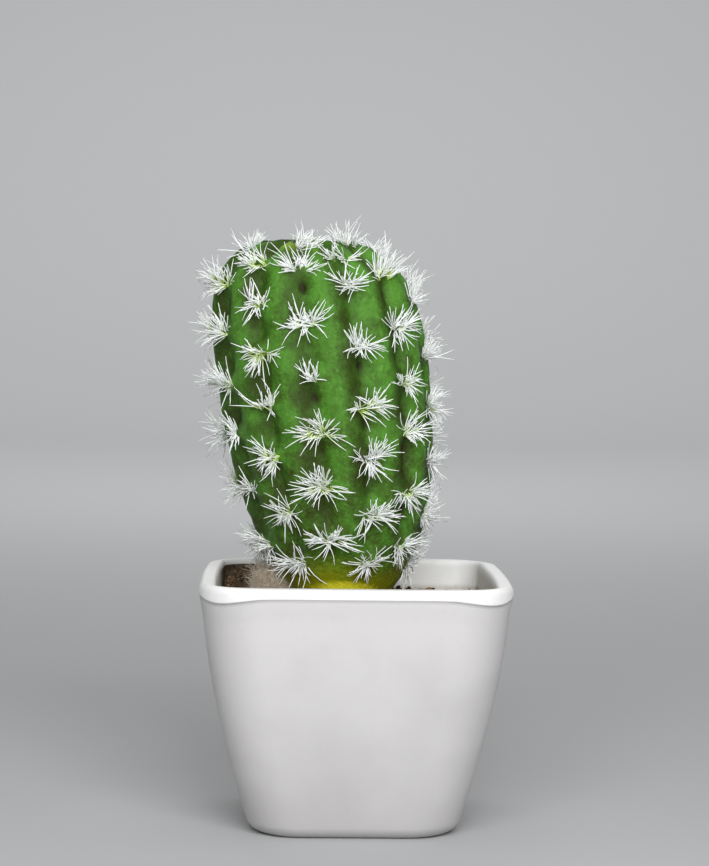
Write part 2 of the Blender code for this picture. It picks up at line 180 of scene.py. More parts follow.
def linear(code):
    """A colour's hex code in sRGB, turned to linear red, green and blue."""
    shares = [int(code[i : i + 2], 16) / 255.0 for i in (1, 3, 5)]
    return tuple(s / 12.92 if s <= 0.04045 else ((s + 0.055) / 1.055) ** 2.4 for s in shares)


# Shapes


def smooth(x):
    """S curve: 0 below 0, 1 above 1, and three x squared less two x cubed between."""
    x = np.clip(x, 0.0, 1.0)
    return x * x * (3.0 - 2.0 * x)


def bell(distance, width):
    """Bell curve: 1 at distance 0, falling as e to the power of minus (distance / width) squared."""
    return np.exp(-((distance / width) ** 2))


def unit(vectors):
    """The vectors divided by their lengths."""
    return vectors / np.linalg.norm(vectors, axis=-1, keepdims=True)


def lumps(points, size, seed):
    """Smooth random lumps, -1 to 1: a random value at each corner of a lattice of cells of this size, and
    between the corners a blend of the eight values by an S curve along each axis."""
    table = np.random.default_rng(seed).uniform(-1.0, 1.0, (32, 32, 32))
    place = points / size
    cell = np.floor(place).astype(int)
    share = smooth(place - cell)
    total = 0.0
    for corner in itertools.product((0, 1), repeat=3):
        weight = np.prod(np.where(corner, share, 1.0 - share), axis=-1)
        x, y, z = np.moveaxis((cell + corner) % 32, -1, 0)
        total = total + weight * table[x, y, z]
    return total


def rough(points, size, seed, octaves=4):
    """Lumps on lumps: each octave has lumps half as large and half as high as the one before."""
    return sum(lumps(points, size / 2**k, seed + k) / 2**k for k in range(octaves))


def ring_quads(rings, sides):
    """Quads between neighbouring rings of points, each ring closed on itself."""
    ring, side = np.meshgrid(np.arange(rings - 1), np.arange(sides), indexing="ij")
    after = (side + 1) % sides
    low, high = ring * sides, (ring + 1) * sides
    return np.stack([low + side, low + after, high + after, high + side], axis=-1).reshape(-1, 4)


def closed_skin(rings, first_pole, last_pole):
    """Points and faces of a closed surface: quads between the rings [ring, point, xyz], and a fan of
    triangles from each end ring to its pole."""
    count, sides = rings.shape[:2]
    points = np.vstack([rings.reshape(-1, 3), first_pole, last_pole])
    here = np.arange(sides)
    after = (here + 1) % sides
    end = (count - 1) * sides
    first = np.column_stack([after, here, np.full(sides, count * sides)])
    last = np.column_stack([end + here, end + after, np.full(sides, count * sides + 1)])
    return points, ring_quads(count, sides).tolist() + first.tolist() + last.tolist()


def many_skins(rings):
    """Points and faces of many separate closed surfaces [surface, ring, point, xyz]: quads between the
    rings and one flat face across each end."""
    count, ring_count, sides = rings.shape[:3]
    first = np.arange(count)[:, None, None] * ring_count * sides
    around = np.arange(sides)
    quads = first + ring_quads(ring_count, sides)
    ends = first + np.stack([around[::-1], (ring_count - 1) * sides + around])
    return rings.reshape(-1, 3), quads.reshape(-1, 4).tolist() + ends.reshape(-1, sides).tolist()


def threads(roots, directions, bends, lengths, radii, rings, sides):
    """Rings of many thin round threads. A thread's middle line is root + length * (t * direction + t
    squared / 2 * bend), with t from 0 to 1, and its radius falls to two thirds just before a blunt tip."""
    t = np.linspace(0.0, 1.0, rings)[None, :, None]
    reach = lengths[:, None, None]
    line = roots[:, None] + reach * (t * directions[:, None] + 0.5 * t * t * bends[:, None])
    helper = np.where(np.abs(directions[:, 2:]) < 0.8, (0.0, 0.0, 1.0), (1.0, 0.0, 0.0))
    across = unit(np.cross(helper, directions))[:, None, None]
    square = np.cross(directions[:, None, None], across)
    turn = 2.0 * np.pi * np.arange(sides)[None, None, :, None] / sides
    taper = np.interp(t, (0.0, 0.93, 1.0), (1.0, 0.72, 0.42))[..., None] * radii[:, None, None, None]
    return line[:, :, None] + taper * (np.cos(turn) * across + np.sin(turn) * square)


def random_turns(draw, count):
    """Rotation matrices drawn evenly: unit quaternions of four normal numbers, written out as matrices."""
    w, x, y, z = unit(draw.normal(size=(count, 4))).T
    rows = (
        (1 - 2 * (y * y + z * z), 2 * (x * y - w * z), 2 * (x * z + w * y)),
        (2 * (x * y + w * z), 1 - 2 * (x * x + z * z), 2 * (y * z - w * x)),
        (2 * (x * z - w * y), 2 * (y * z + w * x), 1 - 2 * (x * x + y * y)),
    )
    return np.moveaxis(np.array(rows), -1, 0)


def crumbs(draw, places, sizes, flatness):
    """Rings of many crumbs: a sphere of four rings of six points, each point drawn in or out at random,
    squashed, turned and moved to its place."""
    polar = np.radians((22.0, 66.0, 114.0, 158.0))[:, None]
    around = np.radians(60.0 * np.arange(6))[None]
    ball = np.stack(
        [np.sin(polar) * np.cos(around), np.sin(polar) * np.sin(around), np.cos(polar) + 0.0 * around], axis=-1
    )[:, ::-1]
    count = len(places)
    uneven = ball * draw.uniform(0.68, 1.18, (count, 4, 6, 1))
    squash = np.stack([np.ones(count), draw.uniform(0.55, 0.95, count), flatness * np.ones(count)], axis=-1)
    shaped = uneven * (squash * sizes[:, None])[:, None, None]
    turned = np.einsum("nij,nabj->nabi", random_turns(draw, count), shaped)
    return turned + places[:, None, None]


def add_piece(name, skin, finish, replaced=(), marks=None, flat=False):
    """Puts points and faces into a mesh with its marks, a number for each point, and lets it ride."""
    points, faces = skin
    mesh = bpy.data.meshes.new(name)
    mesh.from_pydata(points, [], faces)
    if mesh.validate():
        raise RuntimeError(f"{name} has faces that Blender had to mend")
    for mark, values in (marks or {}).items():
        layer = mesh.attributes.new(mark, "FLOAT", "POINT")
        layer.data.foreach_set("value", np.asarray(values, dtype=np.float32).ravel())
    if not flat:
        mesh.shade_smooth()
    mesh.materials.append(finish)
    piece = bpy.data.objects.new(name, mesh)
    bpy.context.scene.collection.objects.link(piece)
    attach(piece, "root")
    if replaced:
        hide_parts(*replaced)
    return piece


# Pot surface


def outline_parts():
    """A rounded square's points as (share of the corner's centre, share of its radius, distance from the
    corner). An eighth runs along half a side and round half a corner; a mirror and four turns do the rest."""
    side = np.linspace(0.0, 1.0, SIDE_STEPS, endpoint=False)
    turn = np.linspace(0.0, math.pi / 4.0, CORNER_STEPS + 1)
    ones = np.ones(SIDE_STEPS + CORNER_STEPS + 1)
    centre = np.column_stack([ones, np.append(side, np.ones(len(turn)))])
    corner = np.column_stack(
        [np.append(np.ones(SIDE_STEPS), np.cos(turn)), np.append(0.0 * side, np.sin(turn))]
    )
    away = np.append(0.8 + 0.6 * (1.0 - side), 0.8 * (1.0 - turn / turn[-1]))
    centre = np.vstack([centre, centre[-2:0:-1, ::-1]])
    corner = np.vstack([corner, corner[-2:0:-1, ::-1]])
    away = np.append(away, away[-2:0:-1])
    turns = [np.array([[c, s], [-s, c]]) for c, s in ((1, 0), (0, 1), (-1, 0), (0, -1))]
    return np.vstack([centre @ t for t in turns]), np.vstack([corner @ t for t in turns]), np.tile(away, 4)


CENTRE_SHARE, CORNER_SHARE, CORNER_DISTANCE = outline_parts()
OUTLINE_POINTS = len(CORNER_DISTANCE)


def square_rings(half, corner, z):
    """Level rounded squares [ring, point, xyz] of these half widths, corner radii and heights. The sides
    bow out: a point is drawn in by a share of the square of its distance from the side's middle, and that
    share grows with height."""
    half, corner, z = (np.broadcast_to(v, (len(z), OUTLINE_POINTS)) for v in (half, corner, z))
    flat = (half - corner)[..., None] * CENTRE_SHARE + corner[..., None] * CORNER_SHARE
    bow = (SIDE_BOW * np.clip(z / POT_HEIGHT, 0.0, 1.0) / half**2)[..., None]
    return np.concatenate([flat * (1.0 - bow * flat[..., ::-1] ** 2), z[..., None]], axis=-1)


def wall_half(z):
    """Half the pot's width outside: it grows from the base as 1 - (1 - height share) to the power of
    the bulge."""
    share = 1.0 - (1.0 - np.clip(z / POT_HEIGHT, 0.0, 1.0)) ** WALL_BULGE
    return BASE_HALF + (RIM_HALF - LIP_PROUD - BASE_HALF) * share


def wall_corner(z):
    """Radius of the pot's corners outside, growing evenly with height."""
    return BASE_CORNER + (RIM_CORNER - BASE_CORNER) * z / POT_HEIGHT


def cavity_half(z):
    """Half the width of the pot's inside."""
    return wall_half(z) - WALL_THICKNESS


def cavity_corner(z):
    """Radius of the inside's corners, growing evenly with height."""
    return INNER_CORNER + 0.4 * (wall_corner(z) - RIM_CORNER)


def lip_foot():
    """Height of the lip's lower edge at each point of the outline: it dips at the corners."""
    return POT_HEIGHT - LIP_DEPTH - LIP_CORNER_EXTRA * (1.0 - smooth(CORNER_DISTANCE))


def pot_skin():
    """Rings over the whole pot: the rounded edge of the base is a quarter circle, the wall follows its
    half width and flares a little under the lip, the lip steps out at its foot and rounds over to the
    inner wall, and a quarter circle joins that to the floor."""
    turn = np.linspace(0.0, math.pi / 2.0, 12)[:, None]
    z = BASE_ROUNDING * (1.0 - np.cos(turn))
    inset = BASE_ROUNDING * (1.0 - np.sin(turn))
    rings = [square_rings(wall_half(z) - inset, wall_corner(z) - 0.6 * inset, z)]
    share = np.linspace(0.0, 1.0, 56)[1:, None]
    z = BASE_ROUNDING + (lip_foot() - BASE_ROUNDING) * share
    flare = WALL_FLARE * (0.4 + 0.6 * smooth(CORNER_DISTANCE)) * smooth((z - lip_foot()) / (6.0 * MM) + 1.0)
    rings.append(square_rings(wall_half(z) + flare, wall_corner(z), z))
    wall_rings = sum(len(ring) for ring in rings)
    turn = np.linspace(0.0, math.pi / 2.0, 7)[1:, None]
    start = wall_half(lip_foot()) + WALL_FLARE * (0.4 + 0.6 * smooth(CORNER_DISTANCE))
    z = lip_foot() + LIP_FOOT_ROUNDING * (1.0 - np.cos(turn))
    rings.append(square_rings(start + (RIM_HALF - start) * np.sin(turn), RIM_CORNER, z))
    foot_top = lip_foot() + LIP_FOOT_ROUNDING
    wide, tall = LIP_OUTER_ROUNDING
    z = foot_top + (np.maximum(POT_HEIGHT - tall, foot_top + 0.02 * MM) - foot_top) * np.array([[0.5], [1.0]])
    rings.append(square_rings(RIM_HALF, RIM_CORNER, z))
    turn = np.linspace(0.0, math.pi / 2.0, 15)[1:, None]
    inset = wide * (1.0 - np.cos(turn))
    z = z[-1] + (POT_HEIGHT - z[-1]) * np.sin(turn)
    rings.append(square_rings(RIM_HALF - inset, RIM_CORNER - inset, z))
    wide, tall = LIP_INNER_ROUNDING
    turn = turn[::-1]
    inset = wide * (1.0 - np.cos(turn))
    z = POT_HEIGHT - tall * (1.0 - np.sin(turn))
    rings.append(square_rings(cavity_half(POT_HEIGHT) + inset, cavity_corner(z) + inset, z))
    outer_rings = sum(len(ring) for ring in rings)
    wall_top = POT_HEIGHT - 1.05 * LIP_INNER_ROUNDING[1]
    wall_foot = FLOOR_THICKNESS + FLOOR_ROUNDING
    z = wall_top + (wall_foot - wall_top) * np.linspace(0.0, 1.0, 34)[:, None] ** 1.7
    rings.append(square_rings(cavity_half(z), cavity_corner(z), z))
    turn = np.linspace(0.0, math.pi / 2.0, 7)[1:, None]
    z = FLOOR_THICKNESS + FLOOR_ROUNDING * (1.0 - np.sin(turn))
    inset = FLOOR_ROUNDING * (1.0 - np.cos(turn))
    rings.append(square_rings(cavity_half(z) - inset, cavity_corner(z) - 0.6 * inset, z))
    rings = np.concatenate(rings)
    number = np.append(np.repeat(np.arange(len(rings)), OUTLINE_POINTS), (0, len(rings)))
    skin = closed_skin(rings, (0.0, 0.0, 0.0), (0.0, 0.0, FLOOR_THICKNESS))
    return skin, number >= wall_rings, number >= outer_rings


def wall_stain(x, y, z):
    """How stained the inside is, 0 to 1: a rim of dust just above the soil, a film of dust on the two side
    walls, and soil smeared up the corner where it is banked up."""
    above = z - soil_bed(x, y)
    dust = 0.50 * (1.0 - smooth(above / (1.8 * MM)))
    reach = cavity_half(z)
    right = 0.40 * smooth((x / reach - 0.955) / 0.03) * (1.0 - smooth((above - 5.0 * MM) / (2.0 * MM)))
    left = 0.34 * smooth((-x / reach - 0.94) / 0.04) * (1.0 - smooth((above - 4.0 * MM) / (3.0 * MM)))
    corner = bell(np.hypot(x + 27.0 * MM, y - 38.0 * MM), 21.0 * MM)
    smear = 1.3 * corner * (1.0 - 0.35 * smooth((above - 1.0 * MM) / (5.0 * MM)))
    return np.clip(dust + right + left + smear, 0.0, 1.0)


# Soil surface


def soil_bed(x, y):
    """Height of the soil before its grain: a level bed with a bell-shaped mound in one corner."""
    off = np.hypot(x - MOUND_PLACE[0], y - MOUND_PLACE[1])
    return SOIL_LEVEL + MOUND_HEIGHT * bell(off, MOUND_SPREAD)


def soil_height(x, y, relief):
    """Height of the soil's surface: uneven patches and clods of a few millimetres, whose tops reach the
    bed's height."""
    flat = np.stack([x, y, 0.0 * x], axis=-1)
    patches = 0.5 * rough(flat, 6.5 * MM, 11)
    clods = 0.9 * np.abs(rough(flat, 2.3 * MM, 23, 3)) - 0.85
    return soil_bed(x, y) + relief * (patches + clods)


def soil_skin(relief):
    """Rings from the floor up the pot's wall, across the top from the wall to the stem, where a point lies
    a share of the way between its two edge points, and down the hollow that holds the stem."""
    turn = np.linspace(math.pi / 2.0, 0.0, 5)[:, None]
    z = FLOOR_THICKNESS + FLOOR_ROUNDING * (1.0 - np.sin(turn))
    inset = FLOOR_ROUNDING * (1.0 - np.cos(turn)) + WALL_GAP
    rings = [square_rings(cavity_half(z) - inset, cavity_corner(z) - 0.6 * inset, z + WALL_GAP)]
    edge = square_rings(
        cavity_half(SOIL_LEVEL) - WALL_GAP, cavity_corner(SOIL_LEVEL), np.array([[SOIL_LEVEL]])
    )[0]
    edge_z = soil_height(edge[:, 0], edge[:, 1], relief)
    foot = FLOOR_THICKNESS + FLOOR_ROUNDING
    z = foot + (edge_z - foot) * np.linspace(0.0, 1.0, 9)[1:, None]
    rings.append(square_rings(cavity_half(z) - WALL_GAP, cavity_corner(z), z))
    bearing = np.arctan2(edge[:, 1], edge[:, 0] - STEM_CENTRE_X)
    around = np.stack([np.cos(bearing), np.sin(bearing)], axis=-1)
    hole = np.array([STEM_CENTRE_X, 0.0]) + around * (stem_radius(SOIL_LEVEL) + 0.3 * MM)
    rim = rings[-1][-1, :, :2]
    share = np.linspace(0.0, 1.0, SOIL_RINGS)[1:, None, None]
    flat = rim + (hole - rim) * share
    rings.append(np.concatenate([flat, soil_height(flat[..., 0], flat[..., 1], relief)[..., None]], axis=-1))
    z = np.linspace(SOIL_LEVEL - 1.5 * MM, ROOT_TIP_HEIGHT, 8)[:, None, None]
    flat = np.array([STEM_CENTRE_X, 0.0]) + around * (stem_radius(z) + 0.3 * MM)
    rings.append(np.concatenate([flat, np.broadcast_to(z, flat.shape[:2] + (1,))], axis=-1))
    floor_pole = (0.0, 0.0, FLOOR_THICKNESS + WALL_GAP)
    hollow_pole = (STEM_CENTRE_X, 0.0, ROOT_TIP_HEIGHT - 1.0 * MM)
    return closed_skin(np.concatenate(rings), floor_pole, hollow_pole)


# Stem surface


def stem_radius(z):
    """Radius of the stem's crests at height z, below its widest height. Above the neck it is a
    superellipse; the buried end narrows from the neck to the root tip as part of an ellipse."""
    z = np.asarray(z, dtype=float)
    share = (WIDEST_HEIGHT - np.maximum(z, NECK_HEIGHT)) / BASE_REACH
    body = STEM_RADIUS * (1.0 - share**BASE_POWER) ** (1.0 / BASE_POWER)
    depth = np.clip((NECK_HEIGHT - z) / (NECK_HEIGHT - ROOT_TIP_HEIGHT), 0.0, 1.0)
    return body * np.sqrt(1.0 - 0.78 * depth**2)


def stem_profile():
    """(radius, height) up the stem's side from the root tip to the crown, with the length along it from
    the neck. The crown is a superellipse: cosine and sine of an angle, each to the power of 2 / 3.2."""
    buried = np.linspace(ROOT_TIP_HEIGHT, NECK_HEIGHT, 60)[:-1]
    low = np.append(buried, np.linspace(NECK_HEIGHT, WIDEST_HEIGHT, 200))
    turn = np.linspace(0.0, math.pi / 2.0, 300)[1:]
    power = 2.0 / CROWN_POWER
    radius = np.append(stem_radius(low), STEM_RADIUS * np.maximum(np.cos(turn), 0.0) ** power)
    height = np.append(low, WIDEST_HEIGHT + (CROWN_HEIGHT - WIDEST_HEIGHT) * np.sin(turn) ** power)
    length = np.append(0.0, np.cumsum(np.hypot(np.diff(radius), np.diff(height))))
    return radius, height, length - np.interp(NECK_HEIGHT, height, length)


PROFILE_RADIUS, PROFILE_HEIGHT, PROFILE_LENGTH = stem_profile()


def side_point(angle_deg, length):
    """The smooth stem's points at these angles and lengths up the side, and their outward normals. The
    middle line moves towards -X with height to the power of 1.2."""
    radius = np.interp(length, PROFILE_LENGTH, PROFILE_RADIUS)
    z = np.interp(length, PROFILE_LENGTH, PROFILE_HEIGHT)
    step = 0.4 * MM
    ends = np.clip([length - step, length + step], PROFILE_LENGTH[0], PROFILE_LENGTH[-1])
    slope_r = np.diff(np.interp(ends, PROFILE_LENGTH, PROFILE_RADIUS), axis=0)[0]
    slope_z = np.diff(np.interp(ends, PROFILE_LENGTH, PROFILE_HEIGHT), axis=0)[0]
    span = np.hypot(slope_r, slope_z)
    turn = np.radians(angle_deg)
    share = np.clip((z - LEAN_START) / (CROWN_HEIGHT - LEAN_START), 0.0, 1.0)
    x = STEM_CENTRE_X - LEAN_AT_CROWN * share**LEAN_POWER + radius * np.cos(turn)
    points = np.stack(np.broadcast_arrays(x, radius * np.sin(turn), z), axis=-1)
    normal = (slope_z / span * np.cos(turn), slope_z / span * np.sin(turn), -slope_r / span)
    return points, np.stack(np.broadcast_arrays(*normal), axis=-1)


def tuft_places(row):
    """Lengths up the side from the neck of one row's tufts, in metres."""
    if row in TUFTS_IN_FRONT:
        return np.array(TUFTS_IN_FRONT[row]) * MM
    even = np.arange(FIRST_TUFT_BEHIND[row], LAST_TUFT_BEHIND, TUFT_PITCH)
    jitter = np.random.default_rng(400 + row).uniform(-TUFT_JITTER, TUFT_JITTER, len(even))
    return (even + jitter) * MM


def furrow_depth(look, length):
    """Full depth of the furrows: it fades in above the soil and out towards the crown's middle."""
    radius = np.interp(length, PROFILE_LENGTH, PROFILE_RADIUS)
    z = np.interp(length, PROFILE_LENGTH, PROFILE_HEIGHT)
    fade_in = smooth((z - FURROW_FADE[0]) / (FURROW_FADE[1] - FURROW_FADE[0]))
    fade_out = np.where(z > WIDEST_HEIGHT, smooth(radius / CROWN_FADE_RADIUS), 1.0)
    return look.furrow_depth * fade_in * fade_out


def stem_relief(look, angle_deg, length):
    """(rise above the smooth stem, valley mark, pit mark). Across a furrow the depth falls from 1 as the
    sine, rounded at the bottom, to the power of 0.85; along it a tuft stands on a bell-shaped knob, with a
    bell-shaped pit below it. The valley mark, where painted shade goes along the furrow, is a bell 4.4 mm wide, 1.8
    mm to one side; the pit mark is where painted shade goes in the pits."""
    offset = (angle_deg - FIRST_FURROW + FURROW_PITCH / 2.0) % FURROW_PITCH - FURROW_PITCH / 2.0
    row = np.round((angle_deg - offset - FIRST_FURROW) / FURROW_PITCH).astype(int) % FURROWS
    radius = np.interp(length, PROFILE_LENGTH, PROFILE_RADIUS)
    across = radius * np.radians(offset)
    sine = np.hypot(np.sin(np.pi * offset / FURROW_PITCH), FURROW_ROUNDING) - FURROW_ROUNDING
    groove = 1.0 - (sine / (math.hypot(1.0, FURROW_ROUNDING) - FURROW_ROUNDING)) ** FURROW_SHAPE
    knob, pit = np.zeros(groove.shape), np.zeros(groove.shape)
    for number in range(FURROWS):
        here = row == number
        places = tuft_places(number + 1)
        strengths = np.random.default_rng(600 + number).uniform(0.0, 1.0, len(places)) ** 3
        if number + 1 == DEEP_PIT[0]:
            strengths[DEEP_PIT[1]] = 1.0
        for place, strength in zip(places, strengths):
            above = length - place
            knob = np.maximum(knob, here * bell(above - 0.6 * MM, 2.6 * MM) * bell(across, 2.7 * MM))
            pit = np.maximum(pit, here * strength * bell(above + 4.6 * MM, 1.9 * MM) * bell(across, 1.2 * MM))
    depth = furrow_depth(look, length)
    share = depth / look.furrow_depth
    rise = -groove * depth + look.knob_height * knob * share - look.pit_depth * pit * (0.25 + 0.75 * share)
    return rise, bell(across + 1.8 * MM, 4.4 * MM) * share, pit


def stem_skin(look):
    """Rings up the stem: its side and relief, with lumps of 7, 2.4 and 1 mm added along the normal."""
    root = np.linspace(PROFILE_LENGTH[0], 0.0, ROOT_RINGS, endpoint=False)
    length = np.append(root, np.linspace(0.0, PROFILE_LENGTH[-1], STEM_RINGS, endpoint=False))[:, None]
    angle = (FIRST_FURROW + 360.0 * np.arange(FURROWS * POINTS_PER_RIB) / (FURROWS * POINTS_PER_RIB))[None]
    points, normals = side_point(angle, length)
    rise, valley, pit = stem_relief(look, angle, length)
    grain = 0.26 * lumps(points, 7.0 * MM, 3) + 0.13 * lumps(points, 2.4 * MM, 5)
    grain = grain + 0.06 * lumps(points, 1.0 * MM, 7)
    shaped = points + normals * (rise + look.skin_relief * grain * smooth(length / (6.0 * MM)))[..., None]
    apex = (STEM_CENTRE_X - LEAN_AT_CROWN, 0.0, CROWN_HEIGHT)
    skin = closed_skin(shaped, (STEM_CENTRE_X, 0.0, ROOT_TIP_HEIGHT), apex)
    # The valley and pit marks say where the skin gets painted shade.
    marks = {name: np.append(values, (0.0, 0.0)) for name, values in (("valley", valley), ("pit", pit))}
    x, y, z = skin[0].T
    low = 1.0 - smooth((z - 58.5 * MM) / (14.0 * MM))
    marks["foot"] = low * (0.45 + 0.55 * bell(x + 6.0 * MM, 12.0 * MM))
    marks["bleached"] = bell(x + 3.2 * MM, 8.5 * MM) * bell(z - 61.6 * MM, 2.6 * MM) * (y < 0.0)
    growth = [side_point(np.array([angle]), np.array([place * MM]))[0] for angle, place in GROWTH_PLACES]
    marks["growth"] = np.max([bell(np.linalg.norm(skin[0] - each, axis=1), 2.3 * MM) for each in growth], axis=0)
    # The height mark lightens the skin upwards: partly younger skin, partly painted light, with painted shade low
    # down.
    marks["height"] = np.clip((z - SOIL_LEVEL) / (CROWN_HEIGHT - SOIL_LEVEL), 0.0, 1.0)
    return skin, marks


# Bristles


def tuft_bristles(look, draw, centre, normal, up, fullness=1.0):
    """(roots, directions, bends, lengths) of one tuft. Its bristles come in bundles; a bundle has a way
    round the tuft and a lift from the skin, and its bristles stray from both, but never bend inwards.
    It grows from the side of the tuft that it points to, or from the other side and across the rest."""
    side = np.cross(up, normal)
    bundles = max(3, int(round(look.bundles * fullness)))
    ways, spreads, spots, shares = np.array(BRUSHED).T
    shares = shares * draw.gamma(2.0, 0.5, len(shares))
    kinds = draw.choice(len(BRUSHED), size=bundles, p=shares / shares.sum())
    per_bundle = draw.integers(2, 7, bundles)
    total = int(per_bundle.sum())
    way = np.repeat(draw.normal(ways[kinds], spreads[kinds]), per_bundle) + draw.normal(0.0, 17.0, total)
    steep = draw.random(bundles) < 0.15
    rise = np.where(steep, draw.uniform(45.0, 75.0, bundles), draw.uniform(12.0, 38.0, bundles))
    lift = np.repeat(rise, per_bundle) + draw.normal(0.0, 9.0, total)
    way, lift = np.radians(way), np.radians(np.clip(lift, 10.0, 85.0))
    flat = np.cos(way)[:, None] * side + np.sin(way)[:, None] * up
    directions = np.cos(lift)[:, None] * flat + np.sin(lift)[:, None] * normal
    crossing = np.where(draw.random(bundles) < 0.30, -1.0, 1.0)
    spot = np.repeat(crossing * spots[kinds] + draw.uniform(-0.3, 0.3, bundles), per_bundle)
    climb = np.repeat(draw.uniform(-0.45, 0.45, bundles), per_bundle)
    roots = centre + look.tuft_half_width * min(fullness + 0.1, 1.0) * (spot[:, None] * side + climb[:, None] * up)
    roots = roots + draw.uniform(-0.35, 0.35, (total, 3)) * MM - normal * 0.25 * MM
    stray = draw.normal(0.0, 0.52, (total, 3))
    bends = stray - np.sum(stray * directions, axis=1, keepdims=True) * directions
    bends = bends - np.minimum(bends @ normal, 0.0)[:, None] * normal
    short = np.where(draw.random(bundles) < 0.25, 0.55, 1.0)
    lengths = np.repeat(short * draw.uniform(0.70, 1.0, bundles), per_bundle) * draw.uniform(0.55, 1.15, total)
    lengths = lengths * look.bristle_length * draw.uniform(0.84, 1.10) * (0.5 + 0.5 * min(fullness, 1.0))
    return roots, directions, bends, lengths


def bristle_skin(look, draw, tufts):
    """Points, faces and marks of the bristles of several tufts (centre, normal, up, fullness)."""
    parts = [tuft_bristles(look, draw, *tuft) for tuft in tufts]
    roots, directions, bends, lengths = (np.concatenate(each) for each in zip(*parts))
    radii = look.bristle_thickness / 2.0 * draw.uniform(0.85, 1.12, len(roots))
    rings = threads(roots, directions, bends, lengths, radii, BRISTLE_RINGS, BRISTLE_SIDES)
    ripe = np.repeat(draw.uniform(-0.22, 0.20, len(parts)), [len(part[0]) for part in parts])
    along = ripe[:, None, None] + np.linspace(0.0, 1.0, BRISTLE_RINGS)[None, :, None]
    return many_skins(rings), {"along": np.broadcast_to(along, rings.shape[:3])}


def row_tufts(look, row):
    """The tufts of one furrow, on their knobs, leaning up the stem."""
    angle = np.array([FIRST_FURROW + FURROW_PITCH * (row - 1)])
    places = tuft_places(row)
    fullnesses = np.random.default_rng(700 + row).uniform(0.70, 1.20, len(places))
    if row == SPARSE_TUFT[0]:
        fullnesses[SPARSE_TUFT[1]] = SPARSE_TUFT[2]
    if row in FIRST_TUFT_BEHIND:
        fullnesses[-1] = 0.45
    tufts = []
    for place, fullness in zip(places, fullnesses):
        points, normals = side_point(angle, np.array([place]))
        rise = stem_relief(look, angle, np.array([place]))[0]
        ahead, _ = side_point(angle, np.array([place + 1.0 * MM]))
        up = unit(ahead - points)[0]
        tufts.append((points[0] + normals[0] * rise[0], normals[0], up, fullness))
    return tufts


def crown_tufts(look):
    """The young tufts on top, each at a bearing and a distance from the crown's middle."""
    tufts = []
    for bearing, distance in CROWN_TUFT_PLACES:
        turn = math.radians(bearing)
        x = STEM_CENTRE_X - LEAN_AT_CROWN + distance * MM * math.cos(turn)
        centre = np.array([x, distance * MM * math.sin(turn), CROWN_HEIGHT - 0.3 * MM])
        up = np.array([math.cos(turn), math.sin(turn), 0.0])
        tufts.append((centre, np.array([0.0, 0.0, 1.0]), up, 0.35))
    return tufts


# Loose things on the soil


def ground_places(draw, count, clear):
    """Random places on the soil between the stem and the pot, a clear distance from both."""
    reach = cavity_half(SOIL_LEVEL) - clear
    spots = draw.uniform(-reach, reach, (8 * count, 2))
    radius = np.hypot(spots[:, 0] - STEM_CENTRE_X, spots[:, 1])
    corner = cavity_corner(SOIL_LEVEL)
    past = np.maximum(np.abs(spots) - (cavity_half(SOIL_LEVEL) - corner), 0.0)
    fits = (radius > stem_radius(SOIL_LEVEL) + clear) & (np.hypot(past[:, 0], past[:, 1]) < corner - clear)
    return spots[fits][:count]


def crumb_skin(look):
    """Crumbs of peat and bark scattered over the soil, half sunk in it."""
    draw = np.random.default_rng(71)
    flat = ground_places(draw, look.crumb_count, 0.5 * MM)
    sizes = look.crumb_size * np.minimum(draw.lognormal(0.0, 0.42, len(flat)), 2.0) / 2.0
    height = soil_height(flat[:, 0], flat[:, 1], look.relief) + 0.35 * sizes
    rings = crumbs(draw, np.column_stack([flat, height]), sizes, 0.7)
    tone = np.broadcast_to(draw.uniform(0.0, 1.0, len(flat))[:, None, None], rings.shape[:3])
    return many_skins(rings), {"tone": tone}


def wad_point(around, up):
    """A point on the wad of coir at the stem's foot: an ellipsoid, with lumps of 3 and 1 mm."""
    ball = np.stack(
        np.broadcast_arrays(np.cos(up) * np.cos(around), np.cos(up) * np.sin(around), np.sin(up)), axis=-1
    )
    bulge = 1.0 + 0.16 * lumps(ball * WAD_RADII, 3.0 * MM, 41) + 0.07 * lumps(ball * WAD_RADII, 1.0 * MM, 43)
    return WAD_PLACE + ball * WAD_RADII * bulge[..., None], ball


def wad_skin():
    """The wad itself, on a grid of angles, closed by a fan at each pole."""
    up = np.linspace(-math.pi / 2.0, math.pi / 2.0, 50)[1:-1, None]
    around = np.linspace(0.0, 2.0 * math.pi, 72, endpoint=False)[None]
    rings, _ = wad_point(around, up)
    beyond = np.array((0.0, 0.0, 0.1 * MM))
    return closed_skin(rings, rings[0].mean(axis=0) - beyond, rings[-1].mean(axis=0) + beyond)


